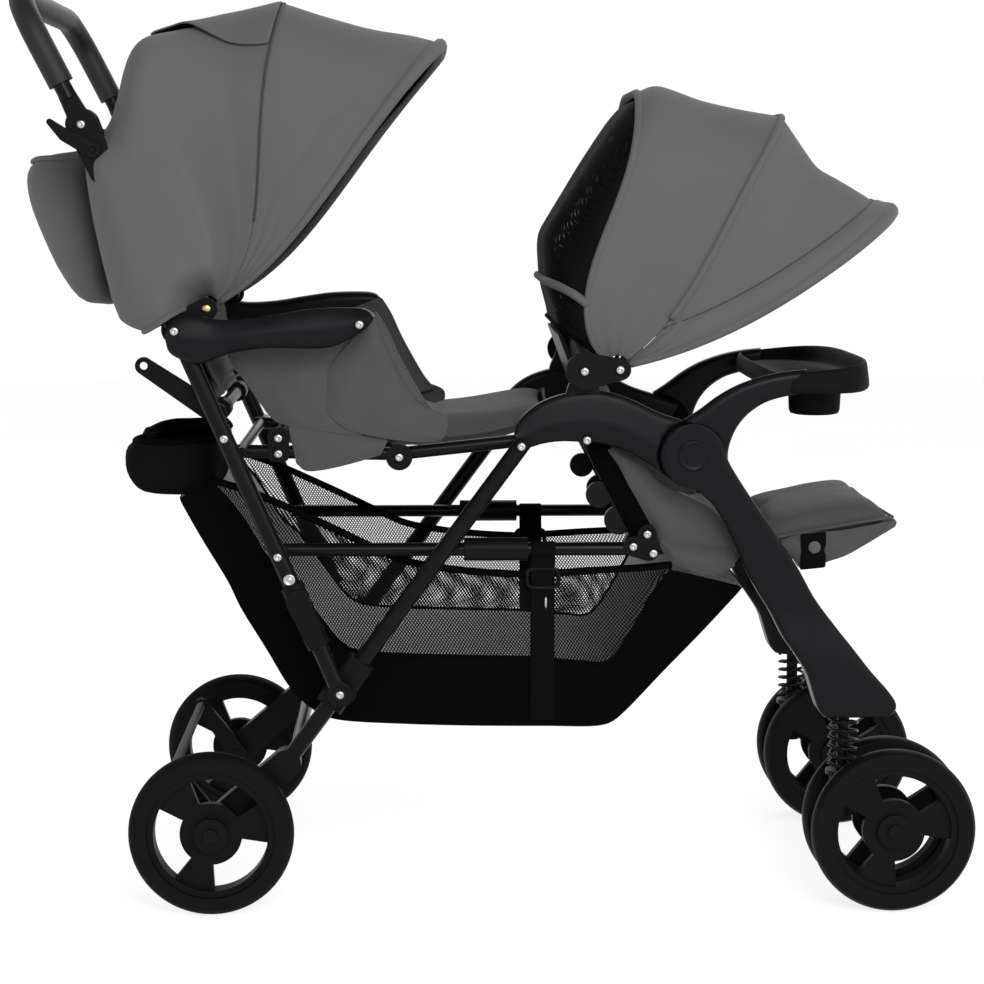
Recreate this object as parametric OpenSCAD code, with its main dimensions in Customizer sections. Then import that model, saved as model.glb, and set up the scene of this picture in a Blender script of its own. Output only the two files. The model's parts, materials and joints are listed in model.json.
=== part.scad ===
// Tandem stroller with two seats, one behind the other. Millimetres, +Z up, +X to the front,
// ground at z = 0, the origin under the middle of the outer box.

/* [Frame] */
// Fore-and-aft place of the lower pivot of the push tubes
lower_pivot_x = -203; // [-213:1:-193]
// Height of the lower pivot of the push tubes
lower_pivot_z = 286; // [276:1:296]
// Backward lean of the push tubes
push_lean = 23.6; // [22:0.1:25]
// Forward lean of the rear legs
leg_lean = 36.4; // [35:0.1:38]
// Lower pivot to handle hinge
push_length = 783; // [765:1:800]
// Rear leg above the lower pivot
leg_upper = 398; // [385:1:410]
// Rear leg below the lower pivot
leg_lower = 131; // [124:1:138]
// Front hub ahead of the top of the rear leg
hub_ahead = 214; // [206:1:222]
// Front hub below the top of the rear leg
hub_drop = 19; // [14:1:24]
// Push tube centre plane
push_y = 250; // [248:0.5:251]
// Rear leg centre plane
leg_y = 226; // [225:0.5:227]
// Rail centre plane
rail_y = 196.5; // [195.5:0.5:197]
// Push tube and rear leg radius
tube_r = 11; // [10.5:0.1:11.2]
// Rail radius
rail_r = 8.5; // [7.5:0.1:8.6]
// Wall of all tubes
tube_wall = 1.5; // [1:0.1:3]
// Basket rail joint along the push tube
basket_rail_at = 193; // [185:1:200]
// Seat rail joint along the push tube
seat_rail_at = 357; // [350:1:362]
// Backrest hinge tube along the push tube
backrest_at = 388; // [384:1:400]
// Armrest and canopy bracket along the push tube
bracket_at = 505; // [495:1:515]
// Front end of the basket rails
basket_rail_front = 196; // [185:1:200]

/* [Wheels] */
// Outer radius of all tyres
wheel_r = 106; // [102:0.5:108]
// Rear axle, fore and aft
rear_axle_x = -369; // [-374:1:-362]
// Rear wheel centre plane
rear_wheel_y = 258; // [257:0.5:260]
// Rear tyre width
rear_tyre_w = 34; // [28:0.5:35]
// Front tyre width
front_tyre_w = 28; // [22:0.5:30]
// Caster turning axis, fore and aft
swivel_x = 446; // [440:1:450]
// Front axle ahead of the turning axis
trail = 60.5; // [54:0.5:62]
// Half the distance between the two wheels of a caster
twin_half = 39; // [37:0.5:42]
// Depth of the tyre
tyre_depth = 24; // [20:0.5:28]
// Width of the rim round the spoke windows
rim_w = 9; // [7:0.5:12]
// Depth of the spoke windows
window_h = 33; // [29:0.5:37]
// Angle of one spoke window
window_angle = 78; // [60:1:90]
// Wheel hub radius
hub_r = 22; // [18:0.5:26]
// Axle radius
axle_r = 5; // [4:0.1:6]

/* [Casters] */
// Caster stem radius
stem_r = 8; // [7:0.1:9]
// Underside of the leg socket
socket_z = 248; // [244:1:252]
// Socket radius
socket_r = 25; // [22:0.5:26]
// Top of the fork
fork_top = 171; // [168:0.5:173]
// Spring coil radius to the wire centre
coil_r = 18.5; // [16:0.1:19.5]
// Spring wire radius
wire_r = 2.2; // [1.6:0.1:2.6]
// Turns of one spring
coil_turns = 5.5; // [4:0.5:6]
// Upward travel of the sprung stem
spring_travel = 12; // [8:0.5:14]

/* [Front legs] */
// Radius of the front hub
front_hub_r = 42; // [40:0.5:44]
// Half width of the leg at the hub
leg_top_half = 28; // [25:0.5:30]
// Half width of the leg at the knee
leg_knee_half = 34; // [30:0.5:36]
// Knee ahead of the hub
knee_ahead = 180; // [172:1:186]
// Knee below the hub
knee_drop = 282; // [276:1:288]
// Inner face of the leg
leg_in = 213; // [212:0.5:215]
// Width of the leg
leg_w = 25; // [23:0.5:25.5]
// Width of the fixed half of the hub
hub_w = 15; // [13:0.5:17]

/* [Front arch and tray] */
// Inner face of the arch
arch_in = 206; // [205.5:0.1:207]
// Width of the arch
arch_w = 26.5; // [24:0.5:26.6]
// Rise of the arch over the line between its ends
arch_rise = 42; // [38:1:46]
// Depth of the arch section
arch_depth = 62; // [56:1:64]
// Tray top above the front hub
tray_rise = 114; // [110:0.5:118]
// Tray thickness
tray_h = 36; // [30:0.5:40]
// Sagitta of the tray front edge
tray_bow = 50; // [40:1:56]
// Tray length, fore and aft, at the middle
tray_length = 160; // [150:1:165]
// Depth of the hollow in the tray
tray_hollow = 22; // [14:0.5:26]
// Cup well radius
cup_r = 31; // [28:0.5:33]
// Cup well depth below the tray
cup_drop = 34; // [28:0.5:38]

/* [Armrests and handle] */
// Inner face of the rear armrests
armrest_in = 242; // [241.5:0.1:244]
// Width of the rear armrests
armrest_w = 30; // [27:0.5:33]
// Armrest radius at its middle
armrest_half = 31; // [28:0.5:33]
// Forward lean of the handle back from upright
handle_lean = 27; // [26:0.5:30]
// Hinge to the top bar of the handle
handle_length = 176; // [170:0.5:182]
// Bend radius of the handle corners
handle_bend = 62; // [55:1:70]
// Grip radius
grip_r = 16; // [14:0.1:18]

/* [Canopies] */
// Rear canopy half width
rear_hood_w = 212; // [206:0.5:214]
// Front canopy half width
front_hood_w = 190; // [184:0.5:192]
// Canopy cloth thickness
cloth_t = 2.4; // [1.6:0.1:4]
// Bow wire radius
bow_r = 3; // [2.4:0.1:3.2]
// Bow corner radius
bow_corner = 105; // [95:1:115]
// Rear canopy: angle of the middle bow from upright
rear_mid_angle = 14.6; // [13:0.1:16]
// Rear canopy: angle of the front bow
rear_front_angle = 41.5; // [40:0.1:43]
// Rear canopy: reach of the middle bow
rear_mid_reach = 397; // [388:1:405]
// Rear canopy: reach of the front bow
rear_front_reach = 448; // [440:1:456]
// Front canopy: angle of the rear bow
front_rear_angle = 6; // [5:0.1:7]
// Front canopy: angle of the middle bow
front_mid_angle = 33; // [32:0.1:34]
// Front canopy: angle of the front bow
front_front_angle = 60; // [59:0.1:61]
// Front canopy: reach of the rear bow
front_rear_reach = 360; // [352:1:366]
// Front canopy: reach of the middle bow
front_mid_reach = 384; // [376:1:390]
// Front canopy: reach of the front bow
front_front_reach = 410; // [402:1:416]

/* [Seats] */
// Front seat tube plane
seat_y = 178; // [176:0.5:179]
// Seat tube radius
seat_r = 7; // [6:0.1:7.5]
// Front seat hinge tube, fore and aft
seat_back_x = 185; // [180:1:190]
// Front seat hinge tube height
seat_back_z = 465; // [460:1:470]
// Front edge tube, fore and aft
seat_front_x = 317; // [312:1:322]
// Front edge tube height
seat_front_z = 446; // [442:1:450]
// Front backrest lean
front_back_lean = 20.7; // [18:0.1:23]
// Front backrest length
front_back_length = 290; // [270:1:300]
// Rear backrest length
rear_back_length = 340; // [320:1:350]
// Thickness of a seat cushion
cushion_t = 34; // [28:0.5:38]
// Drawn-in share of a cushion side
cushion_draw = 0.03; // [0.01:0.005:0.05]
// Footrest length
footrest_length = 205; // [195:1:212]
// Footrest upward tilt
footrest_tilt = 10; // [8:0.5:12]

/* [Basket] */
// Basket floor height
basket_floor = 226; // [222:1:232]
// Basket top edge along the rails
basket_top = 446; // [440:1:447]
// Basket cloth thickness
basket_wall = 3; // [2:0.1:4]

/* [Fits] */
// Radial clearance of a pin that turns
run_gap = 0.06; // [0.03:0.01:0.1]
// Radial clearance of a part seated on another
seat_gap = 0.1; // [0.05:0.05:0.2]
// Gap between parts of different bodies
part_gap = 0.5; // [0.4:0.1:1]
// Screw head radius
screw_r = 6.5; // [5:0.1:7]
// Screw head height
screw_h = 2.4; // [2:0.1:3]

/* [Hidden] */
$fn = 64;
over = 5;
black = [0.05, 0.05, 0.06];
dark = [0.11, 0.11, 0.12];
grey = [0.42, 0.42, 0.43];
steel = [0.75, 0.75, 0.76];

// Derived places, each [x, z]
function on_push(d) = [lower_pivot_x - d * sin(push_lean), lower_pivot_z + d * cos(push_lean)];
function on_leg(d) = [lower_pivot_x + d * sin(leg_lean), lower_pivot_z + d * cos(leg_lean)];
function at(p, y) = [p[0], y, p[1]];

arch_out = arch_in + arch_w;
leg_out = leg_in + leg_w;
hub_split = arch_in + hub_w;
armrest_out = armrest_in + armrest_w;
tyre_inner_r = wheel_r - tyre_depth;
window_r1 = tyre_inner_r - rim_w;
window_r0 = window_r1 - window_h;
lower_pivot = [lower_pivot_x, lower_pivot_z];
leg_top = on_leg(leg_upper);
leg_end = on_leg(-leg_lower);
rail_joint = on_push(basket_rail_at);
seat_joint = on_push(seat_rail_at);
back_hinge = on_push(backrest_at);
bracket = on_push(bracket_at);
handle_hinge = on_push(push_length);
front_hub = leg_top + [hub_ahead, -hub_drop];
rear_axle = [rear_axle_x, wheel_r];
front_axle = [swivel_x + trail, wheel_r];
knee = front_hub + [knee_ahead, -knee_drop];
toe_r = 26;
toe = [swivel_x + 36, socket_z + toe_r];
leg_start = front_hub + [12, -8];

// Armrest centres
arm_mid = bracket + [70, -14];
arm_tip = bracket + [230, 8];

// Front arch circle through the leg top and the hub
arch_chord = norm(front_hub - leg_top);
arch_r = (pow(arch_chord / 2, 2) + pow(arch_rise, 2)) / (2 * arch_rise);
arch_up = [-(front_hub - leg_top)[1], (front_hub - leg_top)[0]] / arch_chord;
arch_c = (leg_top + front_hub) / 2 - arch_up * (arch_r - arch_rise);
arch_a0 = atan2(front_hub[1] - arch_c[1], front_hub[0] - arch_c[0]);
arch_a1 = atan2(leg_top[1] - arch_c[1], leg_top[0] - arch_c[0]);
arch_mid_y = (arch_in + arch_out) / 2;

// Canopy pivots
rear_hood_pivot = bracket + [37, 26];
front_bracket = leg_top + [75, 89];
front_hood_pivot = leg_top + [120, 91];

// Seat places
seat_back = [seat_back_x, seat_back_z];
seat_front = [seat_front_x, seat_front_z];
seat_top = [arch_c[0] - 18, arch_c[1] + arch_r - arch_depth / 2 - 1];
rail_bend = [-129, 587];
rail_rear = [-338, 591];
tray_rear_x = front_hub[0] + 98;
tray_z = front_hub[1] + tray_rise;
peg_x = front_hub[0] + 33;
cross_bar = front_hub + [148, -232];

// Shared helpers
module pair() {
  children();
  mirror([0, 1, 0]) children();
}

module on_side(s) {
  if (s > 0) children();
  else mirror([0, 1, 0]) children();
}

module rod(a, b, r) {
  v = b - a;
  translate(a) rotate([0, acos(v[2] / norm(v)), atan2(v[1], v[0])]) cylinder(r = r, h = norm(v));
}

module bored_rod(a, b, r, wall) {
  u = (b - a) / norm(b - a);
  difference() {
    rod(a, b, r);
    rod(a - u * over, b + u * over, r - wall);
  }
}

module disc(p, r, y0, y1) {
  translate([p[0], y0, p[1]]) rotate([-90, 0, 0]) cylinder(r = r, h = y1 - y0);
}

module slab(y0, y1) {
  translate([0, y1, 0]) rotate([90, 0, 0]) linear_extrude(y1 - y0) children();
}

module link_outline(a, ra, b, rb) {
  d = b - a;
  t = atan2(d[1], d[0]);
  k = acos((ra - rb) / norm(d));
  translate(a) circle(ra);
  translate(b) circle(rb);
  polygon([
    a + ra * [cos(t + k), sin(t + k)],
    b + rb * [cos(t + k), sin(t + k)],
    b + rb * [cos(t - k), sin(t - k)],
    a + ra * [cos(t - k), sin(t - k)]
  ]);
}

module link(a, ra, b, rb, y0, y1) {
  slab(y0, y1) link_outline(a, ra, b, rb);
}

module round_rect(w, h, r) {
  square([w - 2 * r, h], center = true);
  square([w, h - 2 * r], center = true);
  for (x = [-1, 1]) {
    for (y = [-1, 1]) {
      translate([x * (w / 2 - r), y * (h / 2 - r)]) circle(r);
    }
  }
}

// Part of a ring that lies in the side plane, centre plane yc
module ring_part(c, r, a0, a1, yc) {
  translate([c[0], 0, c[1]]) rotate([90, 0, 0]) rotate([0, 0, a0])
    rotate_extrude(angle = a1 - a0) translate([r, -yc]) children();
}

// Closed solid between two grids of points; the first grid faces along rows x columns
module sheet_solid(top, bottom) {
  nu = len(top) - 1;
  nv = len(top[0]) - 1;
  n = (nu + 1) * (nv + 1);
  points = concat([for (row = top) for (p = row) p], [for (row = bottom) for (p = row) p]);
  upper = [for (i = [0 : nu - 1]) for (j = [0 : nv - 1]) let (a = i * (nv + 1) + j)
    each [[a, a + 1, a + nv + 2], [a, a + nv + 2, a + nv + 1]]];
  lower = [for (f = upper) [f[2] + n, f[1] + n, f[0] + n]];
  side_a = [for (i = [0 : nu - 1]) let (a = i * (nv + 1), b = a + nv + 1)
    each [[a, b, b + n], [a, b + n, a + n]]];
  side_b = [for (i = [0 : nu - 1]) let (a = i * (nv + 1) + nv, b = a + nv + 1)
    each [[b, a, a + n], [b, a + n, b + n]]];
  end_a = [for (j = [0 : nv - 1]) each [[j + 1, j, j + n], [j + 1, j + n, j + 1 + n]]];
  end_b = [for (j = [0 : nv - 1]) let (a = nu * (nv + 1) + j)
    each [[a, a + 1, a + 1 + n], [a, a + 1 + n, a + n]]];
  polyhedron(points, concat(upper, lower, side_a, side_b, end_a, end_b));
}

// Cushion grids: crowned top, flatter underside, sides drawn in, sewn channels across the length
function swell(u, v) = sqrt(max(0, 1 - pow(abs(u), 3))) * sqrt(max(0, 1 - pow(abs(v), 3)));
function channel(u, cuts) = len(cuts) == 0 ? 0 : max([for (c = cuts) exp(-pow((u - c) / 0.055, 2))]);
function pad_xy(u, v, l, w) = [
  l / 2 * u * (1 - cushion_draw * u * u * (1 - v * v)),
  w / 2 * v * (1 - cushion_draw * v * v * (1 - u * u))
];
function pad_grid(l, w, base, height, cuts, deep, nu, nv) = [
  for (i = [0 : nu]) let (u = 2 * i / nu - 1) [
    for (j = [0 : nv]) let (v = 2 * j / nv - 1, p = pad_xy(u, v, l, w))
      [p[0], p[1], base + height * swell(u, v) - deep * channel(u, cuts) * swell(u, v)]
  ]
];
pad_nu = 22;
pad_nv = 14;
pad_edge = 8;

module pad(l, w, t, cuts) {
  sheet_solid(
    pad_grid(l, w, pad_edge, t - pad_edge, cuts, 6, pad_nu, pad_nv),
    pad_grid(l, w, 0, 0, [], 0, pad_nu, pad_nv)
  );
}

// Canopy shapes: reach of the side outline by angle, straight between its corners
function chord_r(f, a, b) =
  a[1] * b[1] * sin(b[0] - a[0]) / (a[1] * sin(f - a[0]) + b[1] * sin(b[0] - f));
function outline_r(f, p, i = 0) =
  i >= len(p) - 2 || f <= p[i + 1][0] ? chord_r(f, p[i], p[i + 1]) : outline_r(f, p, i + 1);
function spread(a, b, n) = [for (i = [0 : n]) a + (b - a) * i / n];
hood_side = 3;
hood_turn = 6;
hood_half = hood_side + hood_turn + 1;
hood_foot = 0.15;
function arch_half(i, w, r, c) =
  i < hood_side ? [w, r * hood_foot + (r - c - r * hood_foot) * i / hood_side] :
  i <= hood_side + hood_turn ? let (a = 90 * (i - hood_side) / hood_turn) [w - c + c * cos(a), r - c + c * sin(a)] :
  [0, r];
function arch_point(i, w, r, c) =
  i <= hood_half ? arch_half(i, w, r, c) : let (q = arch_half(2 * hood_half - i, w, r, c)) [-q[0], q[1]];
function hood_row(c, f, p, w, inset) =
  let (r = outline_r(f, p), t = min(bow_corner, 0.6 * r)) [
    for (i = [0 : 2 * hood_half]) let (q = arch_point(i, w - inset, r - inset, t - inset))
      [c[0] + q[1] * sin(f), q[0], c[1] + q[1] * cos(f)]
  ];
function hood_grid(c, angles, p, w, inset) = [for (f = angles) hood_row(c, f, p, w, inset)];

module hood(c, angles, p, w) {
  sheet_solid(hood_grid(c, angles, p, w, cloth_t), hood_grid(c, angles, p, w, 0));
}

seam_angle = 0.4;
mesh_seam_angle = 0.33;
rear_back_angle = -107;
mesh_angle = -56;
rear_outline = [
  [rear_back_angle, 100], [-79, 125], [-55, 169], [-36, 252], [-25, 285], [-16, 334],
  [rear_mid_angle, rear_mid_reach], [rear_front_angle, rear_front_reach]
];
front_outline = [
  [-20, 130], [-3, 190], [front_rear_angle, front_rear_reach],
  [front_mid_angle, front_mid_reach], [45, 357], [front_front_angle, front_front_reach]
];
mesh_outline = [
  [mesh_angle, 89], [-39.4, 137], [-29.7, 190], [-8.4, 254], [2.7, 347], [front_rear_angle, front_rear_reach]
];

// A bow in its own plane: two legs, round corners, a top bar, all at one depth inside the cloth
module bow(c, angle, reach, w) {
  turn = bow_corner - bow_inset;
  translate([c[0], 0, c[1]]) rotate([0, angle, 0]) {
    rod([0, -(w - turn), reach], [0, w - turn, reach], bow_r);
    pair() {
      rod([0, w, 0], [0, w, reach - turn], bow_r);
      translate([0, w - turn, reach - turn]) rotate([90, 0, 90])
        rotate_extrude(angle = 90) translate([turn, 0]) circle(bow_r);
    }
  }
}

bow_inset = cloth_t + bow_r + 1.2;
bow_step = 2 * bow_r + 1;
bow_eye_r = 9;
bow_pin_r = 3;

module bow_eyes(c, w) {
  pair() disc(c, bow_eye_r, w - bow_r - 0.25, w + bow_r + 0.25);
}

module bow_with_eyes(c, angle, reach, w) {
  difference() {
    union() {
      bow(c, angle, reach, w);
      bow_eyes(c, w);
    }
    pair() disc(c, bow_pin_r + run_gap, w - bow_r - over, w + bow_r + over);
  }
}

module screw_head(p, y) {
  disc(p, screw_r, y, y + screw_h);
}

// Wheels, drawn about the Y axis through the origin
module tyre(w) {
  rotate([90, 0, 0]) rotate_extrude() intersection() {
    translate([wheel_r - 20, 0]) circle(20);
    translate([tyre_inner_r, -w / 2]) square([wheel_r, w]);
  }
}

module window_outline() {
  intersection() {
    difference() {
      circle(window_r1);
      circle(window_r0);
    }
    polygon([
      [0, 0],
      [wheel_r * cos(window_angle / 2), wheel_r * sin(window_angle / 2)],
      [2 * wheel_r, 0],
      [wheel_r * cos(window_angle / 2), -wheel_r * sin(window_angle / 2)]
    ]);
  }
}

module rim(w, half_hub, half_plate) {
  rotate([90, 0, 0]) difference() {
    union() {
      translate([0, 0, -half_plate]) linear_extrude(2 * half_plate) difference() {
        circle(tyre_inner_r - 4);
        for (i = [0 : 2]) {
          rotate(120 * i + 72) window_outline();
        }
      }
      rotate_extrude() translate([(window_r1 + tyre_inner_r) / 2 - seat_gap, 0])
        square([tyre_inner_r - window_r1, w - 6], center = true);
      translate([0, 0, -half_hub]) cylinder(r = hub_r, h = 2 * half_hub);
    }
    translate([0, 0, -half_hub - over]) cylinder(r = axle_r + run_gap, h = 2 * half_hub + 2 * over);
  }
}

rear_half_hub = 17;
front_half_hub = 13;
half_plate = 6;

// Chassis
module rear_legs() {
  cross = on_leg(-leg_lower + 34);
  color(black) difference() {
    union() {
      pair() rod(at(leg_end, leg_y), at(leg_top, leg_y), tube_r);
      rod(at(cross, -leg_y), at(cross, leg_y), rail_r);
    }
    pair() rod(at(on_leg(-leg_lower - over), leg_y), at(on_leg(leg_upper + over), leg_y), tube_r - tube_wall);
    rod(at(cross, -leg_y), at(cross, leg_y), rail_r - tube_wall);
  }
}

bracket_in = 213;
bracket_out = 238.5;

module rear_wheel_brackets() {
  color(black) pair() difference() {
    link(on_leg(-leg_lower + 12), 19, rear_axle, 21, bracket_in, bracket_out);
    rod(at(on_leg(-leg_lower - 2), leg_y), at(lower_pivot, leg_y), tube_r + seat_gap);
    disc(on_leg(-leg_lower + 34), rail_r + seat_gap, bracket_in - over, leg_y);
    disc(rear_axle, axle_r + seat_gap, bracket_in - over, bracket_out + over);
  }
}

brake_in = 200;
brake_out = 208;
axle_end = rear_wheel_y + rear_half_hub + 0.5;

module rear_axles() {
  color(steel) pair() {
    disc(rear_axle, axle_r, brake_in - 2, axle_end + 1);
    disc(rear_axle, axle_r + 4, axle_end, axle_end + 2.5);
  }
}

joint_out = 238;

module lower_joints() {
  color(black) pair() difference() {
    intersection() {
      union() {
        rod(at(on_leg(-26), leg_y), at(on_leg(46), leg_y), 19);
        disc(lower_pivot, 21, 210, joint_out);
      }
      translate([-600, 210, 0]) cube([900, joint_out - 210, 900]);
    }
    rod(at(leg_end, leg_y), at(leg_top, leg_y), tube_r + seat_gap);
  }
}

pivot_pin_r = 6;
push_in = push_y - tube_r;
push_out = push_y + tube_r;

module pivot_pins() {
  color(steel) pair() {
    disc(lower_pivot, pivot_pin_r, joint_out, push_out + 1);
    disc(lower_pivot, pivot_pin_r + 4, push_out + part_gap, push_out + part_gap + screw_h);
  }
}

module basket_rails() {
  z = rail_joint[1];
  x0 = rail_joint[0] - 6;
  cross_x = on_leg((z - lower_pivot_z) / cos(leg_lean))[0];
  color(black) difference() {
    union() {
      pair() {
        rod([x0, rail_y, z], [basket_rail_front, rail_y, z], rail_r);
        disc([rail_joint[0] + 4, z], 6, rail_y, push_in - part_gap);
        difference() {
          disc([cross_x, z], 5, rail_y, leg_y);
          rod(at(leg_end, leg_y), at(leg_top, leg_y), tube_r + seat_gap);
        }
      }
    }
    pair() rod([x0 - over, rail_y, z], [basket_rail_front + over, rail_y, z], rail_r - tube_wall);
  }
}

module seat_rails() {
  rail_front = leg_top + [0, -2];
  color(black) union() {
    pair() {
      rod(at(rail_rear, rail_y), at(rail_bend, rail_y), rail_r);
      translate(at(rail_bend, rail_y)) sphere(rail_r + 0.4);
      rod(at(rail_bend, rail_y), at(rail_front, rail_y), rail_r);
      disc(rail_rear + [12, 3], 6, rail_y, push_in - part_gap);
      disc(rail_front + [-6, 0], 6, rail_y, arch_in - 0.1);
    }
    for (p = [rail_rear + [8, -0.2], rail_bend + [-14, 0.2]]) {
      rod(at(p, -rail_y), at(p, rail_y), seat_r);
    }
  }
}

joint_y0 = rail_y + rail_r + 0.2;

plate_out = rail_y + 9;
plate_screws = [for (p = [[-22, 4], [4, -5], [-4, 20]]) [basket_rail_front, rail_joint[1]] + p];
side_screws = [[-281, 609], [-281, 589], rail_bend + [2, -3]];

module rail_joints() {
  color(black) pair() {
    disc(rail_bend + [2, -3], 17, joint_y0, joint_y0 + 6);
    slab(joint_y0, joint_y0 + 6) translate([-281, 600]) round_rect(27, 44, 8);
    difference() {
      rod([-44, rail_y, rail_joint[1]], [38, rail_y, rail_joint[1]], 15);
      rod([-50, rail_y, rail_joint[1]], [44, rail_y, rail_joint[1]], rail_r + seat_gap);
    }
    difference() {
      slab(rail_y - 10, plate_out) {
        link_outline(plate_screws[0], 13, [basket_rail_front - 2, rail_joint[1]], 15);
        link_outline([basket_rail_front - 2, rail_joint[1]], 15, plate_screws[2], 12);
      }
      rod([0, rail_y, rail_joint[1]], [basket_rail_front + 1, rail_y, rail_joint[1]], rail_r + seat_gap);
    }
  }
}

hub_pin_r = 8;

module front_arches() {
  color(dark) pair() difference() {
    union() {
      difference() {
        union() {
          ring_part(arch_c, arch_r, arch_a0, arch_a1, arch_mid_y) round_rect(arch_depth, arch_w, 8);
          disc(leg_top, 27, arch_in, arch_out);
          disc(seat_top, 14, arch_in, arch_out);
          link(front_bracket - [0, 45], 17, front_bracket, 17, arch_in, arch_out);
        }
        disc(front_hub, front_hub_r + 2, hub_split, arch_out + over);
      }
      disc(front_hub, front_hub_r, arch_in, hub_split);
      disc(front_hub, hub_pin_r, arch_in, leg_out + 1);
      disc(front_hub, 2 * hub_pin_r, leg_out + part_gap, leg_out + part_gap + screw_h);
      disc(seat_top, 9, seat_y + seat_r + 0.2, arch_in + 4);
      disc(seat_top, 4, seat_y + seat_r - 2.5, arch_in + 4);
    }
    rod(at(lower_pivot, leg_y), at(on_leg(leg_upper + 0.1), leg_y), tube_r + seat_gap);
    translate([peg_x, (arch_in + hub_split) / 2, front_hub[1] - 4])
      cylinder(r = 5 + seat_gap, h = front_hub_r);
  }
}

module front_seat_frame() {
  back_dir = (seat_back - seat_top) / norm(seat_back - seat_top);
  color(black) difference() {
    union() {
      pair() {
        rod(at(seat_top - back_dir * 12, seat_y), at(seat_back, seat_y), seat_r);
        rod(at(seat_back, seat_y), at(seat_front + [2, 6], seat_y), seat_r - 0.2);
        translate(at(seat_back, seat_y)) sphere(seat_r + 0.6);
        disc(seat_back + [-54, 66], 17, seat_y - 4, seat_y + 4);
        disc(seat_back + [-28, 33], 19, seat_y - 4, seat_y + 4);
      }
      rod(at(seat_back, -seat_y), at(seat_back, seat_y), seat_r);
      rod(at(seat_front, -seat_y), at(seat_front, seat_y), seat_r);
    }
    pair() disc(seat_top, 4 + seat_gap, seat_y, seat_y + 20);
  }
}

module front_seat_cushion() {
  l = 116;
  side = seat_front + [0, 6] - seat_back;
  tilt = atan2(-side[1], side[0]);
  color(grey) translate([seat_back_x, 0, seat_back_z]) rotate([0, tilt, 0])
    translate([36 + l / 2, 0, seat_r + 0.2]) pad(l, 352, cushion_t, [0]);
}

module rear_seat_cushion() {
  l = 372;
  x0 = -296;
  z0 = rail_bend[1] + seat_r + 0.6;
  function rise(x) = x < -90 ? 0 : 0.00125 * pow(x + 90, 2);
  function lift(g) = [for (row = g) [for (p = row) [p[0] + x0 + l / 2, p[1], p[2] + z0 + rise(p[0] + x0 + l / 2)]]];
  color(grey) sheet_solid(
    lift(pad_grid(l, 352, pad_edge, cushion_t - pad_edge, [0.16], 8, pad_nu + 6, pad_nv)),
    lift(pad_grid(l, 352, 0, 0, [], 0, pad_nu + 6, pad_nv))
  );
}

basket_half = rail_y - rail_r - 0.5;
panel_t = 2.5;

module seat_side_panels() {
  y0 = joint_y0 + 0.1;
  y1 = basket_half + part_gap;
  color(grey) pair() slab(y0, y0 + panel_t) polygon([
    [-325, 702], [-300, 640], [-264, 624], [-262, 584], [-150, 584], [-148, 606],
    [-74, 612], [-84, 636], [-110, 662], [-150, 745], [-182, 748]
  ]);
  color(grey) pair() slab(y1, y1 + panel_t) polygon([
    [132, 602], [165, 590], [197, 576], [232, 552], [262, 524], [292, 488], [315, 447], [309, 435],
    [263, 430], [231, 447], [204, 498], [165, 550]
  ]);
}

basket_outline = [
  [-414, 528], [-365, 447], [-333, 372], [-270, 280], [-231, 240], [-205, basket_floor],
  [142, basket_floor], [158, 232], [236, 317], [308, 428], [300, 437], [165, 437],
  [150, basket_top], [-110, basket_top], [-150, 458], [-280, 496], [-400, 532], [-411, 532]
];

module basket() {
  color(dark) union() {
    difference() {
      slab(-basket_half, basket_half) polygon(basket_outline);
      slab(-basket_half + basket_wall, basket_half - basket_wall) polygon([
        [-405, 545], [-362, 452], [-330, 373], [-268, 282], [-229, 243], [-204, basket_floor + basket_wall],
        [141, basket_floor + basket_wall], [156, 235], [233, 318], [305, 430], [300, 600], [-300, 600]
      ]);
    }
    pair() for (x = [-220, -130, 70, 130]) {
      translate([x, basket_half - basket_wall, basket_top - 8]) cube([22, basket_wall, 34]);
    }
  }
  color(dark) difference() {
    slab(-150, 150) polygon([[-470, 598], [-456, 618], [-424, 624], [-372, 622], [-358, 600],
      [-362, 540], [-396, 532.5], [-448, 532.5], [-460, 552]]);
    slab(-147, 147) polygon([[-464, 598], [-456, 640], [-372, 640], [-362, 600],
      [-366, 543], [-396, 536], [-446, 536], [-456, 553]]);
  }
}

module front_canopy_brackets() {
  color(black) pair() {
    link(front_bracket, 24, front_hood_pivot, 14, arch_out + 0.1, arch_out + 7);
    disc(front_hood_pivot, bow_pin_r, front_hood_w - 26, arch_out + 1);
    disc(front_hood_pivot, bow_eye_r, front_hood_w - 2, arch_out + 1);
  }
}

module front_canopy_rear_bow() {
  color(black) bow_with_eyes(front_hood_pivot, front_rear_angle, front_rear_reach - bow_inset,
    front_hood_w - bow_inset - 2 * bow_step);
}

module front_canopy_mid_bow() {
  color(black) bow_with_eyes(front_hood_pivot, front_mid_angle, front_mid_reach - bow_inset,
    front_hood_w - bow_inset);
}

module front_canopy_front_bow() {
  color(black) bow_with_eyes(front_hood_pivot, front_front_angle, front_front_reach - bow_inset,
    front_hood_w - bow_inset - bow_step);
}

module front_canopy_rear_panel() {
  color(grey) hood(front_hood_pivot, spread(front_rear_angle, front_mid_angle - seam_angle, 6), front_outline,
    front_hood_w);
  color(black) hood(front_hood_pivot, spread(mesh_angle, front_rear_angle - mesh_seam_angle, 9), mesh_outline,
    front_hood_w);
}

module front_canopy_front_panel() {
  color(grey) hood(front_hood_pivot, spread(front_mid_angle + seam_angle, front_front_angle, 6), front_outline,
    front_hood_w);
}

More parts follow.
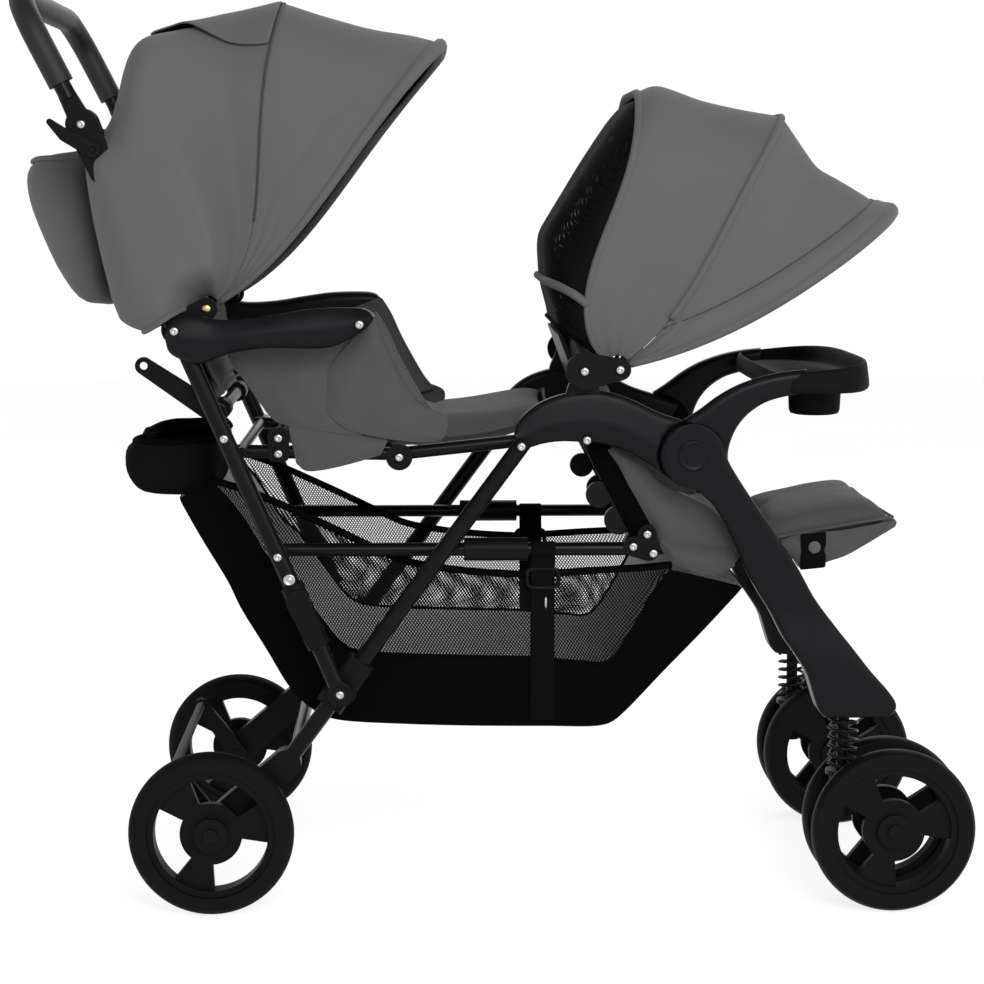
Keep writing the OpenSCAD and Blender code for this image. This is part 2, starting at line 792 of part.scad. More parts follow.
// Push frame
module push_tubes() {
  top = on_push(push_length - 34);
  color(black) difference() {
    union() {
      pair() {
        rod(at(on_push(10), push_y), at(top, push_y), tube_r);
        disc(lower_pivot, 16, push_in + 0.3, push_out - 0.3);
      }
      rod(at(back_hinge, -push_y), at(back_hinge, push_y), rail_r);
    }
    pair() {
      rod(at(on_push(20), push_y), at(on_push(push_length), push_y), tube_r - tube_wall);
      disc(lower_pivot, pivot_pin_r + run_gap, push_in - over, push_out + over);
    }
    rod(at(back_hinge, -push_y), at(back_hinge, push_y), rail_r - tube_wall);
  }
}

module rear_armrests() {
  color(dark) pair() difference() {
    slab(armrest_in, armrest_out) {
      link_outline(bracket, 25, arm_mid, armrest_half);
      link_outline(arm_mid, armrest_half, arm_tip, 21);
    }
    rod(at(lower_pivot, push_y), at(handle_hinge, push_y), tube_r + seat_gap);
  }
}

module rear_canopy_brackets() {
  color(black) pair() difference() {
    union() {
      link(bracket, 20, rear_hood_pivot, 14, 230.5, push_in - 0.2);
      disc(rear_hood_pivot, bow_pin_r, rear_hood_w - 20, 231);
      disc(rear_hood_pivot, bow_eye_r, rear_hood_w - 2, 231);
    }
  }
}

block_in = 236;
block_out = 264;
tongue_half = 4;

module handle_hinge_blocks() {
  color(black) pair() difference() {
    union() {
      link(on_push(push_length - 62), 17, handle_hinge, 20, block_in, block_out);
      disc(on_push(push_length - 34), 3.5, block_out - 1, block_out + 6);
    }
    rod(at(lower_pivot, push_y), at(on_push(push_length - 34), push_y), tube_r + seat_gap);
    disc(handle_hinge, 34, push_y - tongue_half - part_gap, push_y + tongue_half + part_gap);
    disc(handle_hinge, pivot_pin_r + seat_gap, block_in - over, block_out + over);
  }
}

module push_screws() {
  color(steel) pair() {
    screw_head(bracket, armrest_out);
    screw_head(arm_tip, armrest_out);
    disc(handle_hinge, pivot_pin_r, block_in, block_out + 1);
    screw_head(handle_hinge, block_out);
    for (p = [rail_joint, seat_joint]) {
      difference() {
        disc(p, screw_r, push_y + 4, push_out + screw_h);
        rod(at(lower_pivot, push_y), at(handle_hinge, push_y), tube_r + seat_gap);
      }
    }
  }
}

hook_in = 224;
hook_out = 229;

module fold_hooks() {
  tip = on_push(bracket_at - 46) + [-62, -4];
  color(black) pair() difference() {
    link(back_hinge, 14, tip, 11, hook_in, hook_out);
    disc(back_hinge, rail_r + seat_gap, hook_in - over, hook_out + over);
    disc(tip, 5, hook_in - over, hook_out + over);
  }
}

module rear_canopy_mid_bow() {
  color(black) bow_with_eyes(rear_hood_pivot, rear_mid_angle, rear_mid_reach - bow_inset,
    rear_hood_w - bow_inset);
}

module rear_canopy_front_bow() {
  color(black) bow_with_eyes(rear_hood_pivot, rear_front_angle, rear_front_reach - bow_inset,
    rear_hood_w - bow_inset - bow_step);
}

module rear_canopy_rear_panel() {
  color(grey) hood(rear_hood_pivot, spread(rear_back_angle, rear_mid_angle - seam_angle, 16), rear_outline,
    rear_hood_w);
}

module rear_canopy_front_panel() {
  color(grey) hood(rear_hood_pivot, spread(rear_mid_angle + seam_angle, rear_front_angle, 6), rear_outline,
    rear_hood_w);
}

module rear_pocket() {
  color(grey) difference() {
    slab(-150, 150) polygon([
      [-600, 952], [-588, 962], [-515.4, 962], [-507.4, 872], [-491.8, 799], [-505, 768], [-546, 790], [-590, 888]
    ]);
    slab(-146, 146) polygon([
      [-594, 1000], [-522, 1000], [-520, 962], [-512, 872], [-497, 801], [-506, 776], [-542, 794], [-585, 890], [-595, 950]
    ]);
  }
}

// Handle, drawn upright at its hinge
module handle_path(r, z0) {
  w = push_y;
  rod([0, -(w - handle_bend), handle_length], [0, w - handle_bend, handle_length], r);
  pair() {
    rod([0, w, z0], [0, w, handle_length - handle_bend], r);
    translate([0, w - handle_bend, handle_length - handle_bend]) rotate([90, 0, 90])
      rotate_extrude(angle = 90) translate([handle_bend, 0]) circle(r);
  }
}

module at_handle() {
  translate([handle_hinge[0], 0, handle_hinge[1]]) rotate([0, -handle_lean, 0]) children();
}

grip_from = 56;

module handle_bar() {
  color(black) at_handle() difference() {
    union() {
      handle_path(tube_r, 36);
      pair() link([0, 0], 14, [0, 40], 11, push_y - tongue_half, push_y + tongue_half);
    }
    pair() disc([0, 0], pivot_pin_r + run_gap, push_y - 20, push_y + 20);
  }
}

module handle_grip() {
  color(dark) at_handle() difference() {
    handle_path(grip_r, grip_from);
    handle_path(tube_r + seat_gap, grip_from - over);
  }
}

trigger_pivot = on_push(push_length - 34);

module fold_triggers() {
  color(black) pair() difference() {
    union() {
      link(trigger_pivot, 10, trigger_pivot + [-34, 18], 8, block_out + part_gap, block_out + 5);
      link(trigger_pivot + [-34, 18], 8, trigger_pivot + [-52, 34], 4, block_out + part_gap, block_out + 5);
    }
    disc(trigger_pivot, 3.5 + run_gap, block_out - over, block_out + 20);
  }
}

module fold_locks() {
  color(black) pair() difference() {
    union() {
      rod(at(on_push(66), push_y), at(on_push(152), push_y), 15);
      link(on_push(78), 12, on_push(132), 15, push_y + 8, push_y + 19);
    }
    rod(at(on_push(20), push_y), at(on_push(230), push_y), tube_r + part_gap);
  }
}

// Seat backs: boards that turn on their hinge tubes, with padded covers
module back_board(c, lean, l, w, tube, knuckle_y) {
  translate([c[0], 0, c[1]]) rotate([0, -lean, 0]) difference() {
    union() {
      translate([-3, -w / 2, tube + 5]) cube([6, w, l - tube - 5]);
      pair() disc([0, 0], tube + 5, knuckle_y, knuckle_y + 40);
      pair() translate([-3, knuckle_y, 0]) cube([6, 40, tube + 8]);
    }
    pair() disc([0, 0], tube + run_gap, knuckle_y - over, knuckle_y + 45);
  }
}

module back_pad(c, lean, l, w, tube) {
  translate([c[0], 0, c[1]]) rotate([0, -lean, 0]) translate([3.2, 0, (l + tube + 10) / 2])
    rotate([0, 90, 0]) pad(l - tube - 10, w, cushion_t - 4, [-0.45, 0.05, 0.5]);
}

module front_backrest_board() {
  color(black) back_board(seat_back, front_back_lean, front_back_length, 300, seat_r, 100);
}

module front_backrest_pad() {
  color(grey) back_pad(seat_back, front_back_lean, front_back_length, 326, seat_r);
}

module rear_backrest_board() {
  color(black) back_board(back_hinge, push_lean, rear_back_length, 330, rail_r, 120);
}

module rear_backrest_pad() {
  color(grey) back_pad(back_hinge, push_lean, rear_back_length, 356, rail_r);
}

module footrest_board() {
  color(black) back_board(seat_front, -(90 - footrest_tilt), footrest_length, 280, seat_r, 96);
}

module footrest_pad() {
  l = footrest_length - 34;
  color(grey) translate([seat_front_x, 0, seat_front_z]) rotate([0, -footrest_tilt, 0])
    translate([36 + l / 2, 0, 3.2]) pad(l, 318, cushion_t, [0.1]);
}

// Tray on two arms, with a cup well
module tray() {
  bow_r2 = (pow(push_y, 2) + pow(tray_bow, 2)) / (2 * tray_bow);
  y1 = arch_out;
  front_x = tray_rear_x + tray_length;
  arm_h = tray_rise - 4;
  arm_edge = [
    [-6, 48], [6, 56], [21, 68], [40, 84], [61, 95], [83, 104], [113, arm_h], [133, arm_h],
    [133, arm_h - 32], [123, arm_h - 34], [108, 72], [89, 63], [74, 52], [62, 39], [56, 27], [52, 3], [40, 3]
  ];
  color(dark) difference() {
    union() {
      translate([0, 0, tray_z - tray_h]) linear_extrude(tray_h) intersection() {
        translate([front_x - bow_r2, 0]) circle(bow_r2);
        translate([tray_rear_x, -y1]) square([400, 2 * y1]);
      }
      pair() {
        difference() {
          slab(arch_in + 2, arch_out) polygon([for (p = arm_edge) front_hub + p]);
          disc(front_hub, front_hub_r + 2.5, 0, arch_out + over);
          ring_part(arch_c, arch_r, arch_a0 - 5, arch_a1, arch_mid_y)
            square([arch_depth + 2, arch_w + over], center = true);
        }
        translate([peg_x, (arch_in + hub_split) / 2, front_hub[1]])
          cylinder(r = 5, h = front_hub_r + 10);
      }
      translate([tray_rear_x + 76, -104, tray_z - tray_h - cup_drop])
        cylinder(r = cup_r + 3, h = cup_drop + tray_h);
    }
    translate([0, 0, tray_z - tray_hollow]) linear_extrude(tray_h) intersection() {
      translate([front_x - bow_r2 - 10, 0]) circle(bow_r2);
      translate([tray_rear_x + 12, -y1 + 34]) square([400, 2 * y1 - 68]);
    }
    translate([tray_rear_x + 76, -104, tray_z - tray_h - cup_drop + 3])
      cylinder(r = cup_r, h = cup_drop + tray_h + over);
  }
}

// Front legs
module front_legs() {
  color(dark) pair() difference() {
    union() {
      difference() {
        slab(leg_in, leg_out) {
          link_outline(leg_start, leg_top_half, knee, leg_knee_half);
          link_outline(knee, leg_knee_half, toe, toe_r);
        }
        disc(front_hub, front_hub_r + 2, leg_in - over, hub_split + part_gap);
      }
      disc(front_hub, front_hub_r, hub_split + part_gap, leg_out);
      translate([swivel_x, leg_y, socket_z]) cylinder(r = socket_r, h = 78);
    }
    disc(front_hub, hub_pin_r + run_gap, hub_split - over, leg_out + over);
    translate([swivel_x, leg_y, socket_z - over]) cylinder(r = stem_r + run_gap, h = 66 + spring_travel + over);
    disc(cross_bar, rail_r + seat_gap, leg_in - over, leg_in + 12);
  }
}

module front_cross_tube() {
  color(black) bored_rod(at(cross_bar, -leg_in - 11), at(cross_bar, leg_in + 11), rail_r, tube_wall);
}

module frame_screws() {
  color(steel) pair() {
    screw_head(front_bracket, arch_out + 7);
    screw_head(front_hood_pivot, arch_out + 7);
    screw_head(seat_top, arch_out);
    screw_head(on_leg(leg_upper - 8), leg_y + tube_r + seat_gap);
    for (p = plate_screws) {
      screw_head(p, plate_out);
    }
    for (p = side_screws) {
      screw_head(p, joint_y0 + 6);
    }
  }
}

// Casters, drawn at the caster axis on the left side
collar_r = 22;
stem_foot = 118;

module caster_stem(s) {
  color(steel) on_side(s) translate([swivel_x, leg_y, 0]) {
    translate([0, 0, stem_foot]) cylinder(r = stem_r, h = socket_z + 58 - stem_foot);
    translate([0, 0, fork_top + part_gap]) cylinder(r = collar_r, h = 6);
    translate([0, 0, stem_foot]) cylinder(r = stem_r + 3, h = 3);
  }
}

fork_half = 16;

module caster_fork(s) {
  color(dark) on_side(s) difference() {
    union() {
      translate([swivel_x, leg_y, stem_foot + 3 + part_gap]) cylinder(r = 17, h = fork_top - stem_foot - 3 - part_gap);
      difference() {
        link([swivel_x, fork_top - 26], 15, front_axle, 15, leg_y - fork_half, leg_y + fork_half);
        translate([swivel_x, leg_y, 0]) cylinder(r = stem_r + 3 + part_gap, h = stem_foot + 3 + part_gap);
      }
      disc(front_axle, axle_r, leg_y - twin_half - front_half_hub - 1, leg_y + twin_half + front_half_hub + 1);
      disc(front_axle, axle_r + 4, leg_y - twin_half - front_half_hub - 3, leg_y - twin_half - front_half_hub - part_gap);
      disc(front_axle, axle_r + 4, leg_y + twin_half + front_half_hub + part_gap, leg_y + twin_half + front_half_hub + 3);
    }
    translate([swivel_x, leg_y, 0]) cylinder(r = stem_r + run_gap, h = fork_top + over);
  }
}

// Spring: one helical tube, its ends straight for one wire diameter
spring_z0 = fork_top + part_gap + 6 + wire_r + 0.6;
spring_z1 = socket_z - wire_r - 0.6;
spring_rings = 8 * coil_turns;
spring_sides = 6;
spring_pitch = (spring_z1 - spring_z0) / coil_turns;
function coil_at(k) = let (a = 45 * k) [coil_r * cos(a), coil_r * sin(a), spring_z0 + spring_pitch * a / 360];
function coil_dir(k) = let (a = 45 * k, v = [-coil_r * sin(a), coil_r * cos(a), spring_pitch / 6.2832]) v / norm(v);
coil_path = concat(
  [coil_at(0) - coil_dir(0) * 2 * wire_r],
  [for (k = [0 : spring_rings]) coil_at(k)],
  [coil_at(spring_rings) + coil_dir(spring_rings) * 2 * wire_r]
);
function coil_k(i) = min(max(i - 1, 0), spring_rings);
spring_gap = min([
  for (i = [0 : len(coil_path) - 1]) for (j = [i + 5 : 1 : len(coil_path) - 1]) norm(coil_path[i] - coil_path[j])
]) - 2 * wire_r;
echo(spring_gap = spring_gap);

module spring(s) {
  n = spring_sides;
  last = len(coil_path) - 1;
  points = [for (i = [0 : last]) for (q = [0 : n - 1])
    let (k = coil_k(i), out = [cos(45 * k), sin(45 * k), 0], up = cross(coil_dir(k), out), a = 360 * q / n)
      coil_path[i] + wire_r * (cos(a) * out + sin(a) * up)];
  skin = [for (i = [0 : last - 1]) for (q = [0 : n - 1])
    let (a = i * n + q, b = i * n + (q + 1) % n)
      each [[a, a + n, b + n], [a, b + n, b]]];
  start = [for (q = [1 : n - 2]) [0, q, q + 1]];
  end = [for (q = [1 : n - 2]) [last * n, last * n + q + 1, last * n + q]];
  color(steel) on_side(s) translate([swivel_x, leg_y, 0]) polyhedron(points, concat(skin, start, end));
}

module place_front_wheel(s, t) {
  translate([front_axle[0], s * (leg_y + t * twin_half), front_axle[1]]) children();
}

module front_tyre(s, t) {
  color(black) place_front_wheel(s, t) tyre(front_tyre_w);
}

module front_rim(s, t) {
  color(dark) place_front_wheel(s, t) rim(front_tyre_w, front_half_hub, half_plate);
}

module front_wheel(s, t) {
  front_tyre(s, t);
  front_rim(s, t);
}

module place_rear_wheel(s) {
  translate([rear_axle[0], s * rear_wheel_y, rear_axle[1]]) children();
}

module rear_tyre(s) {
  color(black) place_rear_wheel(s) tyre(rear_tyre_w);
}

module rear_rim(s) {
  color(dark) place_rear_wheel(s) rim(rear_tyre_w, rear_half_hub, half_plate);
}

brake_bar_at = rear_axle + [-52, 72];

module brake_bar() {
  color(black) difference() {
    union() {
      pair() link(rear_axle, 13, brake_bar_at, 9, brake_in, brake_out);
      rod(at(brake_bar_at, -brake_in - 1), at(brake_bar_at, brake_in + 1), 6);
    }
    pair() disc(rear_axle, axle_r + run_gap, brake_in - over, brake_out + over);
  }
}

rear_legs();
rear_wheel_brackets();
rear_axles();
lower_joints();
pivot_pins();
basket_rails();
seat_rails();
rail_joints();
front_arches();
front_seat_frame();
front_seat_cushion();
rear_seat_cushion();
seat_side_panels();
basket();
front_canopy_brackets();
front_canopy_rear_bow();
front_canopy_mid_bow();
front_canopy_front_bow();
front_canopy_rear_panel();
front_canopy_front_panel();
push_tubes();
rear_armrests();
rear_canopy_brackets();
handle_hinge_blocks();
push_screws();
fold_hooks();
rear_canopy_mid_bow();
rear_canopy_front_bow();
rear_canopy_rear_panel();
rear_canopy_front_panel();
rear_pocket();
handle_bar();
handle_grip();
fold_triggers();
fold_locks();
front_backrest_board();
front_backrest_pad();
rear_backrest_board();
rear_backrest_pad();
footrest_board();
footrest_pad();
tray();
front_legs();
front_cross_tube();
frame_screws();
caster_stem(1);  // caster_stem_left
caster_stem(-1);  // caster_stem_right
caster_fork(1);  // caster_fork_left
caster_fork(-1);  // caster_fork_right
spring(1);  // caster_spring_left
spring(-1);  // caster_spring_right
front_wheel(1, 1);  // front_wheel_left_outer
front_wheel(1, -1);  // front_wheel_left_inner
front_wheel(-1, 1);  // front_wheel_right_outer
front_wheel(-1, -1);  // front_wheel_right_inner
rear_tyre(1);  // rear_tyre_left
rear_tyre(-1);  // rear_tyre_right
rear_rim(1);  // rear_rim_left
rear_rim(-1);  // rear_rim_right
brake_bar();
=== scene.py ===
"""Tandem stroller: finishes, hoods, pads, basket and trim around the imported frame.

Metres, +Z up, +X to the front.
"""
import json
import math
from collections import namedtuple

import bmesh
import bpy
import numpy as np
from mathutils import Matrix, Vector, noise

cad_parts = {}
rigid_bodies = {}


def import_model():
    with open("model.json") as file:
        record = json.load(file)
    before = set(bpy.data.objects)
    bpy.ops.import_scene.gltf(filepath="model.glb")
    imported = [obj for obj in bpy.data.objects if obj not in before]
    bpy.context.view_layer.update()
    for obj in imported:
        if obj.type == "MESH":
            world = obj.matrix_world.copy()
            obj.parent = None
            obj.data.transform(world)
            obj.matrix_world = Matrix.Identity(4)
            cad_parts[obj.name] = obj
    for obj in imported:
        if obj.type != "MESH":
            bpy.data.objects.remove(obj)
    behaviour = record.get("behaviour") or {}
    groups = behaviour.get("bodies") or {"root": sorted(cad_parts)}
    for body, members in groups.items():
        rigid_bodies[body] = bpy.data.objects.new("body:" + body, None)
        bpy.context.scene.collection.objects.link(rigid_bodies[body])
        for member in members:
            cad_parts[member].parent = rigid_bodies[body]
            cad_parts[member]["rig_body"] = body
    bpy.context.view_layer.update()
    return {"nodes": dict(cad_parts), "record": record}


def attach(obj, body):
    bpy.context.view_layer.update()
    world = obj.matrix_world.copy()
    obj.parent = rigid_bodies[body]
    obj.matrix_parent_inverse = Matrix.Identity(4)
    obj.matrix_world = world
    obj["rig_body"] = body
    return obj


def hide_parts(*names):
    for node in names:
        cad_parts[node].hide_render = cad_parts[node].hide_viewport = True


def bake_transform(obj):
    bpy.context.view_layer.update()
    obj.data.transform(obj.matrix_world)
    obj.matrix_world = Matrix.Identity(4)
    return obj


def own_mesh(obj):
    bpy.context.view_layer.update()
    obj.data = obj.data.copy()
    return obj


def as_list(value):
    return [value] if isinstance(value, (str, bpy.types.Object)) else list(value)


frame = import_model()
nodes = frame["nodes"]

# Named places in the side plane, (x, z), as the part's source gives them
PUSH_LEAN = math.radians(23.6)
LOWER_PIVOT = (-0.203, 0.286)
REAR_HOOD_PIVOT = (-0.36818, 0.77476)
FRONT_HOOD_PIVOT = (0.15318, 0.69735)
SEAT_BACK = (0.185, 0.465)
SEAT_FRONT = (0.317, 0.446)
SIDES = ((1, "left"), (-1, "right"))


def on_push(along):
    """A point of the push tube's centre line, measured up from the lower pivot."""
    return (LOWER_PIVOT[0] - along * math.sin(PUSH_LEAN), LOWER_PIVOT[1] + along * math.cos(PUSH_LEAN))


BACK_HINGE = on_push(0.388)


# Shader writing

class Val:
    """A shader socket that takes part in Python arithmetic by adding Math nodes."""

    def __init__(self, paint, socket):
        self.paint = paint
        self.socket = socket

    def _do(self, operation, *values):
        return self.paint.add("ShaderNodeMath", {"operation": operation}, *values)

    def __add__(self, other):
        return self._do("ADD", self, other)

    __radd__ = __add__

    def __sub__(self, other):
        return self._do("SUBTRACT", self, other)

    def __rsub__(self, other):
        return self._do("SUBTRACT", other, self)

    def __mul__(self, other):
        return self._do("MULTIPLY", self, other)

    __rmul__ = __mul__

    def sin(self):
        return self._do("SINE", self)

    def abs(self):
        return self._do("ABSOLUTE", self)

    def above(self, other):
        return self._do("GREATER_THAN", self, other)

    def clamp(self):
        return self.paint.add("ShaderNodeClamp", {}, self)


class Paint:
    """One material, or the world, and the nodes that make it."""

    def __init__(self, name, world=False):
        self.block = (bpy.data.worlds if world else bpy.data.materials).new(name)
        self.block.use_nodes = True
        self.tree = self.block.node_tree
        self.shader = self.tree.nodes["Background" if world else "Principled BSDF"]

    def add(self, kind, settings, *values, out=0, at=None, **named):
        """A node of that kind: settings first, then socket values or links in order, by number or name."""
        made = self.tree.nodes.new(kind)
        for key, value in settings.items():
            if key == "stops":
                for stop, (position, tone) in zip(made.color_ramp.elements, value):
                    stop.position = position
                    stop.color = (tone, tone, tone, 1.0)
            else:
                setattr(made, key, value)
        by_name = {key.replace("_", " "): value for key, value in named.items()}
        for key, value in [*enumerate(values), *(at or {}).items(), *by_name.items()]:
            if isinstance(value, Val):
                self.tree.links.new(value.socket, made.inputs[key])
            else:
                made.inputs[key].default_value = value
        return Val(self, made.outputs[out])

    def place(self, output="Object"):
        return self.add("ShaderNodeTexCoord", {}, out=output)

    def split(self, vector):
        return [self.add("ShaderNodeSeparateXYZ", {}, vector, out=k) for k in range(3)]

    def noise(self, where, scale, detail=3.0):
        return self.add("ShaderNodeTexNoise", {}, Vector=where, Scale=scale, Detail=detail, Roughness=0.55)

    def mix(self, factor, a, b):
        """Two colours mixed by a factor; a Mix node keeps its colours at sockets 6 and 7."""
        return self.add("ShaderNodeMix", {"data_type": "RGBA"}, factor,
                        at={6: (*a, 1.0), 7: (*b, 1.0)}, out=2)

    def bump(self, height, strength, distance):
        return self.add("ShaderNodeBump", {}, Strength=strength, Distance=distance, Height=height)

    def set(self, **sockets):
        for name, value in sockets.items():
            socket = self.shader.inputs[name.replace("_", " ")]
            if isinstance(value, Val):
                self.tree.links.new(value.socket, socket)
            else:
                socket.default_value = (*value, 1.0) if isinstance(value, tuple) else value
        return self


def shade(colour, factor):
    return tuple(c * factor for c in colour)


def woven(name, colour, thread=0.0011, sheen=0.1, gloss=0.12):
    """Plain woven cloth: crossing threads, uneven yarn and faint broad shading."""
    p = Paint(name)
    where = p.place()
    x, y, z = p.split(where)
    turn = 2 * math.pi / thread
    warp = ((x + z * 0.6) * turn).sin()
    weft = ((y + z * 0.8) * turn).sin()
    weave = (warp * weft) * 0.5 + 0.5
    yarn = p.noise(where, 900.0, 2.0)
    broad = p.noise(where, 9.0, 4.0)
    tone = (yarn - 0.5) * 0.16 + (broad - 0.5) * 0.22 + weave * 0.12 + 0.44
    p.set(Base_Color=p.mix(tone.clamp(), shade(colour, 0.62), shade(colour, 1.38)),
          Roughness=(yarn * 0.12 + 0.8), Sheen_Weight=sheen, Sheen_Roughness=0.5, Specular_IOR_Level=gloss,
          Normal=p.bump(weave * 0.7 + yarn * 0.6 + broad * 0.5, 0.35, 0.0006))
    return p.block


def netting(name, colour, cell=0.0042, thread=0.38):
    """Open diamond net: threads stay, the cells are cut out."""
    p = Paint(name)
    where = p.place()
    x, y, z = p.split(where)
    along = x + y
    turn = math.pi / cell
    one = ((along + z * 0.75) * turn).sin().abs()
    two = ((along - z * 0.75) * turn).sin().abs()
    hole = one.above(thread) * two.above(thread)
    fuzz = p.noise(where, 700.0, 2.0)
    p.set(Base_Color=p.mix(fuzz, shade(colour, 0.7), shade(colour, 1.5)), Roughness=fuzz * 0.2 + 0.65,
          Specular_IOR_Level=0.04, Alpha=1.0 - hole)
    return p.block


def moulded(name, colour, rough=0.42, grain=0.12, edge=0.0014, gloss=0.14):
    """Moulded plastic: fine spark grain, a painted highlight that makes the softened edges paler, faint
    dust.
    """
    p = Paint(name)
    where = p.place()
    grit = p.noise(where, 1400.0, 2.0)
    cloud = p.noise(where, 14.0, 4.0)
    soft = p.add("ShaderNodeBevel", {"samples": 4}, Radius=edge)
    flat = p.add("ShaderNodeNewGeometry", {}, out="Normal")
    turned = p.add("ShaderNodeVectorMath", {"operation": "DOT_PRODUCT"}, soft, flat, out="Value")
    # Painted highlight: the softened edges are coloured paler, mixed below with the faint dust cloud.
    edge_highlight = ((1.0 - turned) * 2.2).clamp()
    tone = p.mix((cloud * 0.7 + edge_highlight * 0.5).clamp(), shade(colour, 0.8), shade(colour, 1.55))
    p.set(Base_Color=tone, Roughness=(grit - 0.5) * 0.1 + (cloud - 0.5) * 0.12 + rough,
          Specular_IOR_Level=gloss,
          Normal=p.add("ShaderNodeBump", {}, Strength=grain, Distance=0.0004, Height=grit, Normal=soft))
    return p.block


def lacquered(name, colour):
    """Black paint on tube: slight orange peel, a clear coat, dust that dulls it in patches."""
    p = Paint(name)
    where = p.place()
    peel = p.noise(where, 420.0, 2.0)
    dust = p.noise(where, 22.0, 5.0)
    soft = p.add("ShaderNodeBevel", {"samples": 4}, Radius=0.0008)
    p.set(Base_Color=p.mix(dust, shade(colour, 0.75), shade(colour, 1.5)), Roughness=dust * 0.16 + 0.22,
          Coat_Weight=0.04, Coat_Roughness=0.2, Specular_IOR_Level=0.08,
          Normal=p.add("ShaderNodeBump", {}, Strength=0.06, Distance=0.0004, Height=peel, Normal=soft))
    return p.block


def bright_metal(name, colour):
    """Turned bright metal: fine rings of tool marks, smudged gloss."""
    p = Paint(name)
    where = p.place()
    marks = p.noise(where, 1800.0, 1.0)
    smudge = p.noise(where, 60.0, 3.0)
    p.set(Base_Color=p.mix(smudge, shade(colour, 0.82), shade(colour, 1.08)), Metallic=1.0,
          Roughness=smudge * 0.2 + 0.16, Normal=p.bump(marks, 0.1, 0.0002))
    return p.block


def tyre_rubber(name, colour):
    """Tyre: matt, dusty on the shoulders, fine mould lines."""
    p = Paint(name)
    where = p.place()
    grit = p.noise(where, 800.0, 3.0)
    dust = p.noise(where, 26.0, 5.0)
    p.set(Base_Color=p.mix((dust * 0.8).clamp(), shade(colour, 0.75), shade(colour, 1.9)),
          Specular_IOR_Level=0.05, Roughness=grit * 0.16 + dust * 0.12 + 0.5,
          Normal=p.bump(grit, 0.25, 0.0004))
    return p.block


def foam(name, colour):
    """Soft foam sleeve: open pores and a dull skin."""
    p = Paint(name)
    where = p.place()
    pores = p.add("ShaderNodeTexVoronoi", {}, Vector=where, Scale=900.0)
    cloud = p.noise(where, 30.0, 3.0)
    p.set(Base_Color=p.mix(cloud, shade(colour, 0.75), shade(colour, 1.4)), Roughness=cloud * 0.14 + 0.5,
          Specular_IOR_Level=0.32, Normal=p.bump(pores, 0.3, 0.0005))
    return p.block


GREY_CLOTH = woven("grey_cloth", (0.082, 0.082, 0.084))
# Stitching thread darker than the cloth: partly the real thread, partly painted shade of the groove it is
# sewn in.
SEAM_THREAD_AND_SHADE = woven("seam_thread_and_shade", (0.040, 0.040, 0.041))
SEAT_CLOTH = woven("seat_cloth", (0.056, 0.056, 0.0575))
BLACK_CLOTH = woven("black_cloth", (0.0018, 0.0018, 0.0021), sheen=0.0, gloss=0.015)
LINING = woven("lining", (0.004, 0.004, 0.0044), sheen=0.0, gloss=0.02)
# Painted light: the inside of the black basket cloth is coloured pale to stand in for brightness, not the
# cloth's own colour.
BASKET_INSIDE_PAINTED_LIGHT = woven("basket_inside_painted_light", (0.62, 0.62, 0.625), sheen=0.0, gloss=0.03)
NET = netting("black_net", (0.004, 0.004, 0.0044), thread=0.34)
FINE_NET = netting("fine_black_net", (0.003, 0.003, 0.0034), cell=0.0022, thread=0.84)
PLASTIC = moulded("black_plastic", (0.0038, 0.0037, 0.0044), gloss=0.06)
SATIN_PLASTIC = moulded("satin_plastic", (0.0046, 0.0044, 0.0056), rough=0.34, grain=0.06,
                        edge=0.0012, gloss=0.085)
TRAY_PLASTIC = moulded("tray_plastic", (0.0042, 0.0040, 0.0048), rough=0.62, grain=0.1, gloss=0.03)
RIM_PLASTIC = moulded("rim_plastic", (0.0032, 0.0032, 0.0037), rough=0.45, gloss=0.06)
TUBE_PAINT = lacquered("tube_paint", (0.0028, 0.0028, 0.0032))
GREY_PLASTIC = moulded("grey_plastic", (0.075, 0.075, 0.077), gloss=0.1)
STEEL = bright_metal("bright_steel", (0.46, 0.46, 0.47))
BRASS = bright_metal("brass", (0.55, 0.40, 0.17))
TYRE = tyre_rubber("tyre_rubber", (0.0034, 0.0034, 0.0038))
GRIP_FOAM = foam("grip_foam", (0.0042, 0.0042, 0.0046))
WEBBING = woven("webbing", (0.0030, 0.0030, 0.0034), thread=0.0016, sheen=0.0, gloss=0.03)


# Mesh helpers

def mesh_object(name, points, faces, *materials):
    mesh = bpy.data.meshes.new(name)
    mesh.from_pydata([tuple(p) for p in points], [], faces)
    for m in materials:
        mesh.materials.append(m)
    mesh.validate()
    mesh.polygons.foreach_set("use_smooth", [True] * len(mesh.polygons))
    mesh.update()
    piece = bpy.data.objects.new(name, mesh)
    bpy.context.scene.collection.objects.link(piece)
    return piece


def grid_object(name, rows, *materials, wrap=False):
    """A sheet over rows of points; wrap joins the last column to the first."""
    n = len(rows[0])
    points = [p for row in rows for p in row]
    last = n if wrap else n - 1
    faces = [(i * n + j, i * n + (j + 1) % n, (i + 1) * n + (j + 1) % n, (i + 1) * n + j)
             for i in range(len(rows) - 1) for j in range(last)]
    return mesh_object(name, points, faces, *materials)


def round_off(piece):
    """Rounds a piece with one subdivision."""
    m = piece.modifiers.new("round", "SUBSURF")
    m.levels = m.render_levels = 1


def thicken(piece, thickness, offset=-1.0, lining=False):
    """Gives a sheet its thickness, and rounds it."""
    m = piece.modifiers.new("thickness", "SOLIDIFY")
    m.thickness = thickness
    m.offset = offset
    m.material_offset = 1 if lining else 0
    round_off(piece)


def area_of(piece):
    return sum(f.area for f in piece.data.polygons)


def length_of(path):
    return sum((Vector(a) - Vector(b)).length for a, b in zip(path, path[1:]))


